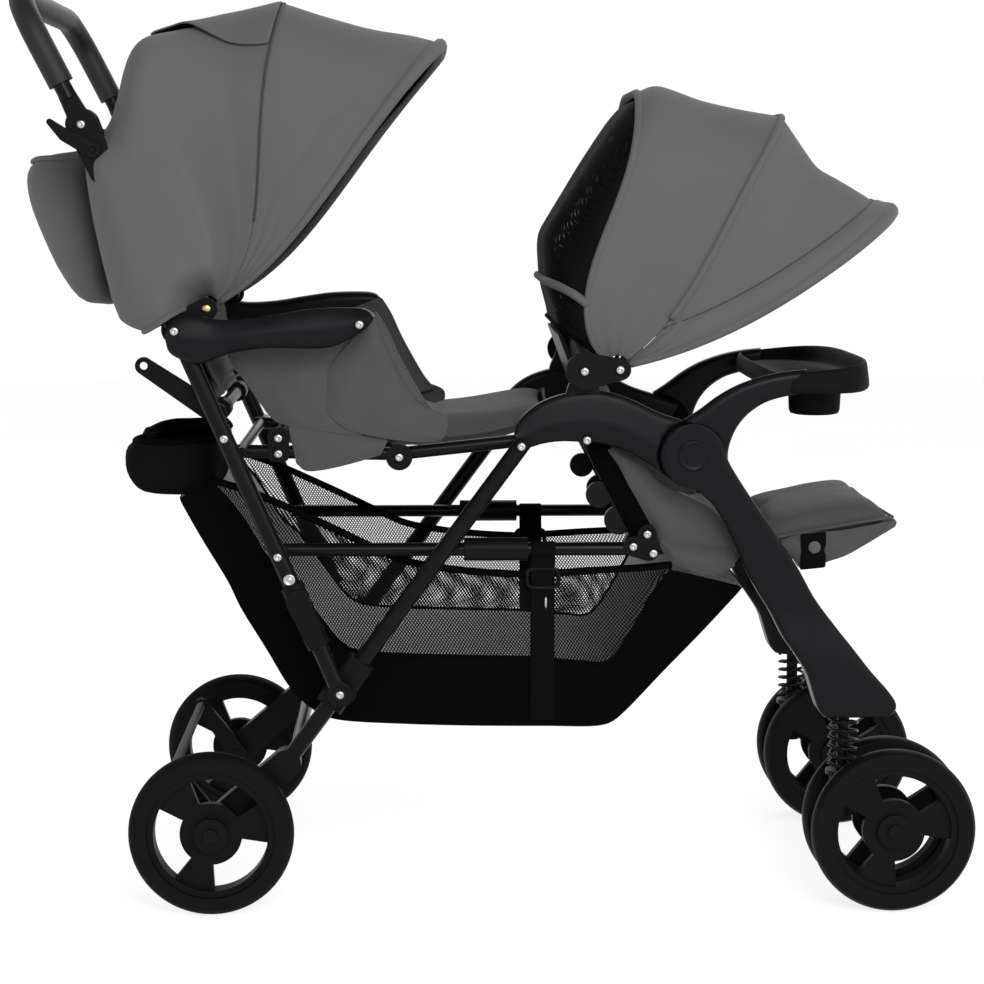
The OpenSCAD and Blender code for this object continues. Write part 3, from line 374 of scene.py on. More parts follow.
def close_mesh(piece, rings=(), distance=0.0):
    """Caps the given rings of vertices, welds within a distance and turns every face outward."""
    bm = bmesh.new()
    bm.from_mesh(piece.data)
    bm.verts.ensure_lookup_table()
    for ring in rings:
        bm.faces.new([bm.verts[k] for k in ring])
    if distance:
        bmesh.ops.remove_doubles(bm, verts=bm.verts, dist=distance)
    bmesh.ops.recalc_face_normals(bm, faces=bm.faces)
    for face in bm.faces:
        face.smooth = len(face.verts) <= 4
    bm.to_mesh(piece.data)
    bm.free()


def circle(steps):
    return [2 * math.pi * k / steps for k in range(steps)]


def loft_object(name, runs, material):
    """One mesh over runs of rings, each run closed by a cap at both ends."""
    steps = len(runs[0][0])
    points, faces, caps = [], [], []
    for rings in runs:
        base, last = len(points), len(points) + (len(rings) - 1) * steps
        points += [p for ring in rings for p in ring]
        faces += [(k + j, k + (j + 1) % steps, k + steps + (j + 1) % steps, k + steps + j)
                  for k in range(base, last, steps) for j in range(steps)]
        caps += [range(base, base + steps), range(last, last + steps)]
    piece = mesh_object(name, points, faces, material)
    close_mesh(piece, caps)
    return piece


def tube_object(name, path, radius, material, sides=10, closed=False):
    """A round cord of cloth or wire along a path, capped at its ends or closed; radius may vary along it."""
    pts = [Vector(p) for p in path]
    count = len(pts)
    rings = []
    across = None
    for i, p in enumerate(pts):
        a = pts[i - 1] if i or closed else pts[i]
        b = pts[(i + 1) % count] if i + 1 < count or closed else pts[i]
        along = (b - a).normalized()
        if across is None:
            across = along.orthogonal().normalized()
        across = (across - along * across.dot(along)).normalized()
        up = along.cross(across)
        r = radius(i / max(1, count - 1)) if callable(radius) else radius
        rings.append([p + (across * math.cos(t) + up * math.sin(t)) * r for t in circle(sides)])
    if not closed:
        return loft_object(name, [rings], material)
    piece = grid_object(name, [*rings, rings[0]], material, wrap=True)
    close_mesh(piece, distance=1e-6)
    return piece


def ribbon(name, path, across, width, thickness, material):
    """Flat webbing along a path, its width along a fixed direction."""
    side = Vector(across) * (width / 2)
    rows = [[Vector(p) + side * (2 * j / 6 - 1) for j in range(7)] for p in path]
    piece = grid_object(name, rows, material)
    thicken(piece, thickness, offset=0.0)
    return piece


def turned_rings(profile, centre, side, steps):
    """Rings of a small turned piece on a lateral axis; profile is (radius, outward) in millimetres."""
    x, y, z = centre
    return [[Vector((x + r / 1000 * math.cos(t), side * (y + out / 1000), z + r / 1000 * math.sin(t)))
             for t in circle(steps)] for r, out in profile]


def lathe(name, profile, centre, side, material):
    return loft_object(name, [turned_rings(profile, centre, side, 28)], material)


def smooth_path(points, count):
    """Evenly spread points on a Catmull-Rom curve through the given ones."""
    pts = [Vector(p) for p in points]
    pts = [2 * pts[0] - pts[1]] + pts + [2 * pts[-1] - pts[-2]]
    dense = []
    for i in range(1, len(pts) - 2):
        for k in range(24):
            t = k / 24
            a, b, c, d = pts[i - 1:i + 3]
            dense.append(0.5 * (2 * b + (c - a) * t + (2 * a - 5 * b + 4 * c - d) * t * t
                                + (3 * b - a - 3 * c + d) * t ** 3))
    dense.append(pts[-2])
    steps = [0.0]
    for a, b in zip(dense, dense[1:]):
        steps.append(steps[-1] + (b - a).length)
    out, k = [], 0
    for i in range(count):
        s = steps[-1] * i / (count - 1)
        while k < len(steps) - 2 and steps[k + 1] < s:
            k += 1
        span = steps[k + 1] - steps[k]
        out.append(dense[k].lerp(dense[k + 1], 0 if span < 1e-12 else (s - steps[k]) / span))
    return out


def side_points(pairs, y):
    """(x, z) pairs in millimetres as points at a lateral plane."""
    return [(x / 1000, y, z / 1000) for x, z in pairs]


def ruffle(p, size, amount, seed=0.0):
    """A small smooth push for cloth at a point."""
    return amount * noise.noise(Vector(p) / size + Vector((seed, seed * 1.7, -seed)))


def carry(piece, slot, body):
    """Gives a piece the body that it moves with; its slot is not used."""
    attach(piece, body)
    return piece


def node_mesh(node):
    """A welded working copy of a solid's mesh."""
    bm = bmesh.new()
    bm.from_mesh(nodes[node].data)
    bmesh.ops.remove_doubles(bm, verts=bm.verts, dist=2e-5)
    return bm


# Hoods

HOOD_CORNER = 0.105
HOOD_FOOT = 0.014
REAR_HOOD_W = 0.212
FRONT_HOOD_W = 0.190
SHARES = [j / 64 for j in range(65)]
TRIM_SHARES = [j / 96 for j in range(97)]

# An edge of hood cloth: its angle at the crown, and how far and how sharply it swings round to the pivot
Edge = namedtuple("Edge", "angle swing power")
REAR_HEM = Edge(-110.0, 45.0, 2.0)
REAR_SEAM = Edge(13.8, 45.0, 3.0)
REAR_BROW = Edge(41.5, 22.0, 2.6)
CURTAIN_HEM = Edge(-56.0, 0.0, 1.0)
CURTAIN_TAPE = Edge(-40.0, 38.0, 1.0)
CURTAIN_TAPE_REACH = 0.142
FRONT_BACK = Edge(5.0, -75.0, 3.0)
FRONT_SEAM = Edge(34.5, 26.0, 2.4)
FRONT_BROW = Edge(61.5, 18.0, 1.35)

REAR_OUTLINE = [(-110, 0.085), (-103.5, 0.101), (-97.6, 0.112), (-84, 0.122), (-64, 0.148), (-51, 0.184),
                (-42, 0.225), (-37, 0.2535), (-30, 0.255), (-26.9, 0.261), (-22.8, 0.281), (-18.1, 0.318),
                (-15, 0.339), (-12, 0.349), (2.7, 0.374), (13.8, 0.399), (20.8, 0.402), (29.2, 0.414),
                (37.2, 0.436), (41.5, 0.450)]
FRONT_OUTLINE = [(5, 0.352), (8.1, 0.3687), (12.3, 0.367), (18.4, 0.365), (27.5, 0.375), (34.5, 0.391),
                 (40.8, 0.378), (46.5, 0.371), (51.5, 0.384), (58.2, 0.405), (61.5, 0.422)]
CURTAIN_OUTLINE = [(-56, 0.089), (-39.4, 0.140), (-29.7, 0.190), (-8.4, 0.258), (2.7, 0.335), (5, 0.352)]

# Where the rear hood's cloth passes outside the push tubes: how far, and over which angles it spreads out
TUBE_COVER = 0.064
TUBE_COVER_FROM, TUBE_COVER_TO = 6.0, -16.0

# The flap on the rear hood: where it lies between hem and seam, its half width, and its lift at the seam
# and further at its free end
FLAP_FROM, FLAP_TO = 0.784, 0.9965
FLAP_HALF, FLAP_TAPER = 0.206, 0.125
FLAP_LIFT, FLAP_FREE_LIFT = 0.0042, 0.011


def edge_angle(edge, along):
    return edge.angle + edge.swing * max(0.0, 1 - along) ** edge.power


def chord_reach(angle, outline):
    """Reach of a hood's side outline at an angle, straight between its corners."""
    for (a, ra), (b, rb) in zip(outline, outline[1:]):
        if angle <= b or (b, rb) == outline[-1]:
            s = math.sin(math.radians(angle - a))
            t = math.sin(math.radians(b - angle))
            return ra * rb * math.sin(math.radians(b - a)) / (ra * s + rb * t)
    return outline[-1][1]


def ease(t):
    t = min(1.0, max(0.0, t))
    return t * t * (3 - 2 * t)


def tube_cover(angle):
    return ease((TUBE_COVER_FROM - angle) / (TUBE_COVER_FROM - TUBE_COVER_TO))


def hood_section(width, reach, share, cover=0.0):
    """A point (y, out) of the hood's cross line and its outward normal; share runs from right to left."""
    corner = min(HOOD_CORNER - 0.045 * cover, 0.6 * reach)
    side = -1 if share < 0.5 else 1
    straight = reach - corner - HOOD_FOOT
    arc = corner * math.pi / 2
    top = width - corner
    run = 2 * min(share, 1 - share) * (straight + arc + top)
    if run <= straight:
        return side * width, HOOD_FOOT + run, side, 0.0
    if run <= straight + arc:
        a = (run - straight) / corner
        c, s = math.cos(a), math.sin(a)
        return side * (width - corner + corner * c), reach - corner + corner * s, side * c, s
    return side * (top - (run - straight - arc)), reach, 0.0, 1.0


class Hood:
    """A fan of cloth about two side pivots, bent over its bows; r runs from a sheet's back to its front."""

    def __init__(self, pivot, width, outline, soften, cover=None):
        self.pivot = pivot
        self.width = width
        self.cover = cover
        self.outline = outline
        self.soften = soften

    def reach(self, angle):
        lo, hi = self.outline[0][0], self.outline[-1][0]
        near = [chord_reach(min(hi, max(lo, angle + self.soften * k / 3)), self.outline)
                for k in range(-3, 4)]
        return sum(near) / len(near)

    def point(self, back, front, r, share, lift=0.0, drape=None):
        base = back.angle + (front.angle - back.angle) * r
        reach = self.reach(base) + lift
        over = self.cover(base) if self.cover else 0.0
        y, out, ny, nout = hood_section(self.width + TUBE_COVER * over + lift, reach, share, over)
        y -= math.copysign(abs(ny) * TUBE_COVER * over * (1 - ease((out - 0.010) / 0.040)), y)
        along = min(1.0, out / reach)
        first = edge_angle(back, along)
        a = math.radians(first + (edge_angle(front, along) - first) * r)
        p = Vector((self.pivot[0] + out * math.sin(a), y, self.pivot[1] + out * math.cos(a)))
        if drape:
            p -= Vector((nout * math.sin(a), ny, nout * math.cos(a))) * drape(base, r, along, out, p)
        return p

    def rows(self, back, front, count, drape):
        return [[self.point(back, front, i / count, s, drape=drape) for s in SHARES]
                for i in range(count + 1)]

    def path(self, edge, lift=0.0, shares=TRIM_SHARES):
        return [self.point(edge, edge, 0.0, s, lift) for s in shares]

    def line(self, back, front, gap, lift, shares, drape=None):
        """A line on a sheet that keeps a distance gap(out) behind its front edge."""
        pts = []
        for s in shares:
            reach = self.reach(front.angle)
            out = hood_section(self.width, reach, s)[1]
            along = min(1.0, out / reach)
            fan = edge_angle(front, along) - edge_angle(back, along)
            r = 1 - math.degrees(math.asin(min(0.9, gap(out) / out))) / fan
            pts.append(self.point(back, front, max(0.03, r), s, lift, drape))
        return pts

    def crossing(self, back, front, tape, share, lift):
        """The place on a sheet, at a share across it, where a tape crosses that runs at its own angles."""
        lo, hi = 0.0, 1.0
        for _ in range(24):
            r = (lo + hi) / 2
            p = self.point(back, front, r, share, lift)
            x, z = p.x - self.pivot[0], p.z - self.pivot[1]
            wanted = edge_angle(tape, min(1.0, math.hypot(x, z) / CURTAIN_TAPE_REACH))
            lo, hi = (r, hi) if math.degrees(math.atan2(x, z)) < wanted else (lo, r)
        return self.point(back, front, (lo + hi) / 2, share, lift)


def sunk(lo, hi, deep, seed):
    """Drape of a sheet: it sinks between the bows at two angles, ripples a little, gathers at the pivot."""
    def draw(base, r, along, out, p):
        low = min(1.0, along / 0.4)
        crown = ease((along - 0.62) / 0.25)
        held = min(1.0, 6 * r * (1 - r))
        t = min(1.0, max(0.0, (base - lo) / (hi - lo)))
        folds = ruffle(p, 0.07, 0.0014, seed) + ruffle(p, 0.16, 0.0028, seed + 3)
        pleats = 0.0007 * math.sin(2 * math.pi * 3.5 * r + seed) * math.exp(-(out / 0.16) ** 2)
        return deep * math.sin(math.pi * t) * crown + held * (folds * (0.35 + 0.65 * crown) * low + pleats)
    return draw


def bow_normal(angle):
    return Vector((math.cos(math.radians(angle)), 0, -math.sin(math.radians(angle))))


def hood_sheet(name, rows, outer, node=None, thickness=0.0022):
    """Cloth over rows of points, lined dark inside; gives the piece, its cut area and its width."""
    piece = grid_object(name, rows[::-1], outer, LINING)
    cut = area_of(piece)
    thicken(piece, thickness, lining=True)
    if node:
        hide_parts(node)
    return piece, cut, length_of(rows[-1])


def trim(name, path, radius, material=None):
    piece = tube_object(name, path, radius, material or GREY_CLOTH)
    return piece


def declare_sheet(piece, cut, wide, held_by, trims=(), held="stretched"):
    long = cut / wide / 0.8
    list(trims)
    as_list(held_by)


def brow_roll(low, high):
    """Radius of a rolled brow, fullest at the crown."""
    return lambda t: low + (high - low) * math.sin(math.pi * t) ** 1.5


def blend_all(pieces):
    for piece in pieces:
        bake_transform(piece)


def make_rear_hood():
    hood = Hood(REAR_HOOD_PIVOT, REAR_HOOD_W, REAR_OUTLINE, 1.0, tube_cover)
    n = bow_normal(REAR_SEAM.angle)
    drape = sunk(-16, REAR_SEAM.angle, 0.005, 1.0)
    back = hood_sheet("rear_hood_back", hood.rows(REAR_HEM, REAR_SEAM, 72, drape), GREY_CLOTH,
                      "rear_canopy_rear_panel")
    sag = sunk(REAR_SEAM.angle, REAR_BROW.angle, 0.005, 2.0)

    def drape_front(base, r, along, out, p):
        """The visor also keeps one soft fold behind its brow."""
        fold = math.exp(-(((1 - r) * out * 0.48 - 0.056 + 0.05 * (along - 0.5)) / 0.007) ** 2)
        return (sag(base, r, along, out, p)
                + 0.0032 * fold * ease((along - 0.35) / 0.2) * ease((0.86 - along) / 0.2))

    visor = hood_sheet("rear_hood_visor", hood.rows(REAR_SEAM, REAR_BROW, 30, drape_front), GREY_CLOTH,
                       "rear_canopy_front_panel")
    rows = []
    for i in range(23):
        t = i / 22
        half = FLAP_HALF - FLAP_TAPER * (1 - t) ** 2.4
        r = FLAP_FROM + (FLAP_TO - FLAP_FROM) * t
        lift = FLAP_LIFT + FLAP_FREE_LIFT * (1 - t) ** 2.5
        rows.append([hood.point(REAR_HEM, REAR_SEAM, r, 0.5 + half * (2 * j / 40 - 1), lift, drape)
                     for j in range(41)])
    flap = hood_sheet("rear_hood_flap", rows, GREY_CLOTH, thickness=0.0034)
    cord = trim("rear_hood_seam", hood.path(REAR_SEAM, 0.0004, [0.10 + 0.80 * s for s in TRIM_SHARES]),
                0.0017, SEAM_THREAD_AND_SHADE)
    hem = trim("rear_hood_hem", hood.path(REAR_HEM, -0.001), 0.0036)
    brow = trim("rear_hood_brow", hood.path(REAR_BROW, -0.003), brow_roll(0.0042, 0.0095))
    blend_all((back[0], flap[0], hem, cord))
    blend_all((visor[0], brow))
    declare_sheet(*back, ["rear_canopy_mid_bow", "rear_canopy_brackets"], [cord, hem])
    declare_sheet(*visor, ["rear_canopy_mid_bow", "rear_canopy_front_bow"], [brow])
    declare_sheet(*flap, ["rear_hood_back"], held="laid")


def stitch_gap(out):
    """Width of the rolled band at the front hood's brow."""
    return 0.038 - 0.030 * out


def make_front_hood():
    hood = Hood(FRONT_HOOD_PIVOT, FRONT_HOOD_W, FRONT_OUTLINE, 1.5)
    net_hood = Hood(FRONT_HOOD_PIVOT, FRONT_HOOD_W - 0.0015, CURTAIN_OUTLINE, 3.0)
    n = bow_normal(FRONT_SEAM.angle)
    drape = sunk(FRONT_BACK.angle, FRONT_SEAM.angle, 0.006, 4.0)
    back = hood_sheet("front_hood_back", hood.rows(FRONT_BACK, FRONT_SEAM, 24, drape), GREY_CLOTH,
                      "front_canopy_rear_panel")
    sag = sunk(FRONT_SEAM.angle, FRONT_BROW.angle, 0.003, 5.0)

    def drape_front(base, r, along, out, p):
        """The visor ends in a full rolled band, with a groove where it is stitched."""
        fan = math.radians(edge_angle(FRONT_BROW, along) - edge_angle(FRONT_SEAM, along))
        share = (1 - r) * fan * out / max(0.004, stitch_gap(out))
        band = math.sin(math.pi * min(1.0, share)) ** 0.8 * 0.0055
        groove = 0.0022 * math.exp(-((share - 1.0) / 0.10) ** 2)
        return sag(base, r, along, out, p) - (band - groove) * ease(out / 0.06) * ease(r / 0.3)

    visor = hood_sheet("front_hood_visor", hood.rows(FRONT_SEAM, FRONT_BROW, 44, drape_front), GREY_CLOTH,
                       "front_canopy_front_panel")
    net_edge = Edge(FRONT_BACK.angle - 0.3, FRONT_BACK.swing, FRONT_BACK.power)
    rows = net_hood.rows(CURTAIN_HEM, net_edge, 30, sunk(CURTAIN_HEM.angle, FRONT_BACK.angle, 0.002, 6.0))
    curtain = grid_object("front_hood_curtain", rows[::-1], FINE_NET)
    curtain_cut = area_of(curtain)
    thicken(curtain, 0.0012)
    rear_hem = trim("front_hood_rear_hem", hood.path(FRONT_BACK, -0.001), brow_roll(0.0036, 0.0052))
    cord = trim("front_hood_seam",
                hood.path(FRONT_SEAM, 0.0006, [0.075 + 0.85 * s for s in TRIM_SHARES]), 0.0046)
    brow = trim("front_hood_brow", hood.path(FRONT_BROW, -0.003), brow_roll(0.0048, 0.0115))
    shares = [0.060 + 0.88 * s for s in TRIM_SHARES]
    # The darker stitching is partly painted shade of the stitched groove.
    stitch = trim("front_hood_stitching", hood.line(FRONT_SEAM, FRONT_BROW, stitch_gap, 0.0002, shares,
                                                    drape_front), 0.0010, SEAM_THREAD_AND_SHADE)
    tape = trim("front_hood_net_tape", [net_hood.crossing(CURTAIN_HEM, net_edge, CURTAIN_TAPE, s, 0.0016)
                                        for s in (0.10 + 0.80 * u for u in TRIM_SHARES)], 0.0055)
    net_hem = trim("front_hood_net_hem", net_hood.path(CURTAIN_HEM), 0.0030, BLACK_CLOTH)
    blend_all((back[0], curtain, rear_hem, tape, net_hem, cord))
    blend_all((visor[0], brow, stitch))
    declare_sheet(*back, ["front_canopy_rear_bow", "front_canopy_mid_bow"], [rear_hem, cord])
    declare_sheet(*visor, ["front_canopy_mid_bow", "front_canopy_front_bow"], [brow, stitch])
    declare_sheet(curtain, curtain_cut, length_of(rows[-1]), ["front_canopy_rear_bow"],
                  [tape, net_hem], held="hung")


# Pads

CLOTH_FRAMES = 16
PAD_CELL = 0.009
PAD_SWELL = 0.006
PAD_SLIM = 0.94
PAD_RIM = 0.34
EDGE_DRAW = 0.03
CHANNEL_DEPTH = CHANNEL_WIDTH = 0.007
PIPING_R = 0.0021


def plump(piece):
    """Swells a pad by a short cloth run under pressure, each point held near its start."""
    scene = bpy.context.scene
    start = np.array([v.co for v in piece.data.vertices])
    m = piece.modifiers.new("swell", "CLOTH")
    m.settings.use_pressure = True
    m.settings.uniform_pressure_force = 4.0
    m.settings.effector_weights.gravity = 0.0
    m.settings.quality = 4
    m.settings.mass = 0.25
    m.point_cache.frame_start = 1
    m.point_cache.frame_end = CLOTH_FRAMES
    for f in range(1, CLOTH_FRAMES + 1):
        scene.frame_set(f)
    solved = piece.evaluated_get(bpy.context.evaluated_depsgraph_get()).to_mesh()
    moved = np.array([v.co for v in solved.vertices]) - start
    piece.to_mesh_clear()
    piece.modifiers.remove(m)
    far = np.linalg.norm(moved, axis=1)
    held = moved * np.minimum(1.0, PAD_SWELL / np.maximum(far, 1e-9))[:, None]
    piece.data.vertices.foreach_set("co", (start + held).astype(np.float32).ravel())
    piece.data.update()
    scene.frame_set(1)


def on_plan(length, width, u, v, z):
    """A point of a pad's plan; the sides draw in between the corners."""
    return Vector((length / 2 * u * (1 - EDGE_DRAW * (1 - v * v)),
                   width / 2 * v * (1 - EDGE_DRAW * (1 - u * u)), z))


def pad_object(name, length, width, height, cuts, place, bend):
    """A stuffed pad: flat below, crowned above, sides drawn in between corners, sewn channels pressed in."""
    nu = max(12, int(length / PAD_CELL))
    nv = max(12, int(width / PAD_CELL))

    def round_share(t):
        return max(0.0, 1 - abs(t) ** 4) ** 0.5

    points, index = [], {}
    for layer in (0, 1):
        for i in range(nu + 1):
            u = 2 * i / nu - 1
            for j in range(nv + 1):
                v = 2 * j / nv - 1
                rim = i in (0, nu) or j in (0, nv)
                if layer and rim:
                    index[layer, i, j] = index[0, i, j]
                    continue
                swell = round_share(u) * round_share(v)
                rim_z = PAD_RIM * height
                z = rim_z + (height * PAD_SLIM - rim_z) * swell if layer else rim_z * (1 - swell ** 0.6)
                index[layer, i, j] = len(points)
                points.append(on_plan(length, width, u, v, z))
    faces = []
    for layer in (0, 1):
        for i in range(nu):
            for j in range(nv):
                q = [index[layer, i, j], index[layer, i + 1, j], index[layer, i + 1, j + 1],
                     index[layer, i, j + 1]]
                faces.append(q if layer else q[::-1])
    piece = mesh_object(name, points, faces, SEAT_CLOTH)
    plump(piece)
    for v in piece.data.vertices:
        u, w = 2 * v.co.x / length, 2 * v.co.y / width
        rise = max(0.0, min(1.0, (v.co.z / height - PAD_RIM) / 0.4))
        inner = max(0.0, 1 - abs(w) ** 6) * max(0.0, 1 - abs(u) ** 6)
        press = (sum(math.exp(-((u - c) * length / 2 / CHANNEL_WIDTH) ** 2) for c in cuts)
                 * max(0.0, 1 - abs(w) ** 8))
        v.co.z -= CHANNEL_DEPTH * rise * min(1.0, press)
        v.co.z += rise * inner * (ruffle(v.co, 0.035, 0.0012, 7) + ruffle(v.co, 0.09, 0.002, 9))
    if bend:
        for v in piece.data.vertices:
            v.co = bend(v.co)
    piece.data.transform(place)
    piece.data.update()
    round_off(piece)
    return piece


def seam_cord(name, length, width, z, place, bend):
    """Piping round a pad's rim."""
    pts = []
    steps = 26
    for u0, v0, u1, v1 in ((-1, -1, 1, -1), (1, -1, 1, 1), (1, 1, -1, 1), (-1, 1, -1, -1)):
        for k in range(steps):
            u = u0 + (u1 - u0) * k / steps
            v = v0 + (v1 - v0) * k / steps
            p = on_plan(length, width, u, v, z)
            pts.append(place @ (bend(p) if bend else p))
    return tube_object(name, pts, PIPING_R, SEAT_CLOTH, sides=8, closed=True)


def turned(angle, *shift):
    return Matrix.Translation(shift) @ Matrix.Rotation(math.radians(angle), 4, "Y")


def lean_back(hinge, lean, length, tube):
    """Places a flat pad on the front of a back board that leans about its hinge."""
    return (turned(-lean, hinge[0], 0, hinge[1])
            @ Matrix.Translation((0.0034, 0, (length + tube + 0.010) / 2))
            @ Matrix.Rotation(math.radians(90), 4, "Y"))


def rear_seat_rise(p):
    """Carries the rear seat pad to its place and turns its front up into the leg rest."""
    x = p.x - 0.296 + 0.372 / 2
    lift = 0.0 if x < -0.09 else 1.25 * (x + 0.09) ** 2
    return Vector((x, p.y, p.z + 0.5948 + lift))


def make_pads():
    tilt = math.degrees(math.atan2(0.013, 0.132))
    front_seat = turned(tilt, SEAT_BACK[0], 0, SEAT_BACK[1]) @ Matrix.Translation((0.036 + 0.058, 0, 0.0074))
    foot_length = 0.205 - 0.034
    foot = (turned(-10, SEAT_FRONT[0], 0, SEAT_FRONT[1])
            @ Matrix.Translation((0.036 + foot_length / 2, 0, 0.0034)))
    rear_back = lean_back(BACK_HINGE, 23.6, 0.340, 0.0085)
    front_back = lean_back(SEAT_BACK, 20.7, 0.290, 0.007)
    flat = Matrix.Identity(4)
    table = (
        ("rear_seat_pad", 0.372, 0.352, 0.034, (0.16,), flat, "chassis",
         "rear_seat_cushion", rear_seat_rise),
        ("front_seat_pad", 0.116, 0.352, 0.034, (0.0,), front_seat, "chassis", "front_seat_cushion", None),
        ("rear_back_pad", 0.3215, 0.356, 0.030, (-0.45, 0.05, 0.5), rear_back, "rear_backrest",
         "rear_backrest_pad", None),
        ("front_back_pad", 0.273, 0.326, 0.030, (-0.45, 0.05, 0.5), front_back, "front_backrest",
         "front_backrest_pad", None),
        ("footrest_cover", foot_length, 0.318, 0.038, (), foot, "footrest", "footrest_pad", None),
    )
    for name, length, width, height, cuts, place, body, node, bend in table:
        pad = pad_object(name, length, width, height, cuts, place, bend)
        cord = seam_cord(name + "_piping", length, width, PAD_RIM * height, place, bend)
        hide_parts(node)
        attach(pad, body)
        carry(cord, "fabric_dark", body)


# Cloth at the sides of the seats

REAR_WING_Y = 0.2080
FRONT_WING_Y = 0.1890
FOOT_SKIRT_Y = 0.1585

SIDE_CLOTHS = (
    # name, first edge, second edge, lateral plane, puff, cloth, body, folds with the frame, held by
    ("rear_wing_back",
     [(-352, 735), (-339, 705), (-322, 683), (-303, 655), (-278, 629), (-214, 617), (-176, 613)],
     [(-176, 748), (-190, 712), (-200, 684), (-204, 656), (-200, 638), (-186, 622), (-172, 616)],
     REAR_WING_Y, 0.004, "grey", "chassis", True, "seat_rails"),
    ("rear_wing_front", [(-168, 751), (-188, 730), (-207, 708), (-219, 686), (-222, 660), (-213, 638),
                         (-191, 621), (-146, 610), (-101, 605), (-75, 606)],
     [(-160, 760), (-150, 733), (-139, 708), (-128, 686), (-115, 664), (-98, 648), (-80, 642),
      (-67, 634), (-68, 616)],
     REAR_WING_Y + 0.0035, 0.008, "grey", "chassis", True, "seat_rails"),
    ("rear_wing_lining", [(-200, 752), (-205, 705), (-198, 655), (-150, 622)],
     [(-156, 768), (-143, 747), (-129, 716), (-113, 686), (-96, 657), (-82, 640)], REAR_WING_Y - 0.004,
     0.002, "grey", "chassis", True, "seat_rails"),
    ("rear_wing_flap", [(-267, 624), (-232, 619), (-198, 613), (-143, 606)],
     [(-257, 577), (-245, 568), (-220, 570), (-186, 578), (-152, 588)], REAR_WING_Y - 0.001, 0.005, "grey",
     "chassis", True, "seat_rails"),
    ("front_wing", [(143, 590), (157, 571), (171, 544), (186, 518), (201, 489), (213, 461), (228, 447),
                    (257, 436), (283, 432), (304, 441)],
     [(150, 593), (163, 586), (180, 578), (195, 560), (209, 545), (239, 530), (268, 516), (292, 494),
      (306, 471), (311, 452)], FRONT_WING_Y, 0.009, "grey", "chassis", False, "front_seat_frame"),
    ("front_wing_roll", [(210, 468), (228, 445), (257, 433), (283, 429), (305, 439)],
     [(212, 474), (237, 468), (260, 466), (285, 467), (307, 468)], FRONT_WING_Y + 0.003, 0.011, "grey",
     "chassis", False, "front_seat_frame"),
    ("front_wing_edge", [(117, 600), (122, 577), (140, 547), (163, 501), (186, 454)],
     [(131, 602), (146, 590), (170, 552), (188, 516), (207, 480), (218, 456)], FRONT_WING_Y - 0.0025, 0.002,
     "black", "chassis", False, "front_seat_frame"),
    ("footrest_skirt", [(372, 466), (390, 472), (405, 476), (453, 479), (522, 492)],
     [(378, 456), (388, 445), (402, 431), (437, 442), (463, 452), (520, 486)], FOOT_SKIRT_Y, 0.003, "grey",
     "footrest", False, "footrest_cover"),
)


def side_sheet(name, edge_a, edge_b, y, bulge, material, mirror, seed, slack):
    """Cloth between two edges given in millimetres, puffed outward between them."""
    rows, cols = 44, 18
    a = smooth_path(side_points(edge_a, 0), rows)
    b = smooth_path(side_points(edge_b, 0), rows)
    sheet = []
    for i in range(rows):
        row = []
        for j in range(cols + 1):
            t = j / cols
            p = a[i].lerp(b[i], t)
            arch = math.sin(math.pi * t)
            puff = bulge * arch * math.sin(math.pi * (0.08 + 0.84 * i / (rows - 1)))
            creases = ruffle(p, 0.03, 0.0018 * slack, seed) + ruffle(p, 0.07, 0.0024 * slack, seed + 5)
            out = y + puff + creases * min(1.0, 1.6 * arch)
            row.append(Vector((p.x, mirror * out, p.z)))
        sheet.append(row)
    piece = grid_object(name, sheet, material)
    cut = area_of(piece)
    thicken(piece, 0.003, offset=0.0)
    edge = [row[0] for row in sheet] + [p for p in sheet[-1][1:]] + [row[-1] for row in sheet[-2::-1]]
    edge += [p for p in sheet[0][-2:0:-1]]
    return piece, cut, length_of(a), edge


def make_side_cloths():
    """Cloth wings at the sides of both seats and the skirt of the footrest cover, each with a bound edge."""
    for side, word in SIDES:
        for k, (name, edge_a, edge_b, y, bulge, kind, body, folds, holder) in enumerate(SIDE_CLOTHS):
            cloth, slot = (SEAT_CLOTH, "fabric_dark") if kind == "grey" else (BLACK_CLOTH, "fabric_black")
            piece, cut, long, edge = side_sheet(f"{name}_{word}", edge_a, edge_b, y, bulge, cloth, side,
                                                11 + k, 2.6 if body == "chassis" and not folds else 2.0)
            binding = tube_object(f"{name}_binding_{word}", edge, 0.0019, cloth, sides=8, closed=True)
            if side > 0 and name == "rear_wing_back":
                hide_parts("seat_side_panels")
            for made in (piece, binding):
                carry(made, slot, body)
                if folds:
                    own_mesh(made)
            declare_sheet(piece, cut, long, [holder], [binding], held="hung")


FOOT_UNDER = [(398, 434), (415, 436), (437, 443), (463, 453), (492, 470), (516, 486), (523, 494)]


def make_foot_under():
    """The footrest cover's cloth below, from side to side, closed at its front edge."""
    line = smooth_path(side_points(FOOT_UNDER, 0), 30)
    rows = []
    for p in line:
        row = []
        for j in range(33):
            v = 2 * j / 32 - 1
            q = Vector((p.x, FOOT_SKIRT_Y * v, p.z))
            row.append(q + Vector((0, 0, (ruffle(q, 0.06, 0.004, 51) - 0.003) * (1 - v * v))))
        rows.append(row)
    under = grid_object("footrest_under", rows, SEAT_CLOTH)
    cut = area_of(under)
    thicken(under, 0.0024, offset=0.0)
    carry(under, "fabric_dark", "footrest")
    declare_sheet(under, cut, length_of(rows[0]), ["footrest_cover"], held="hung")


# Basket

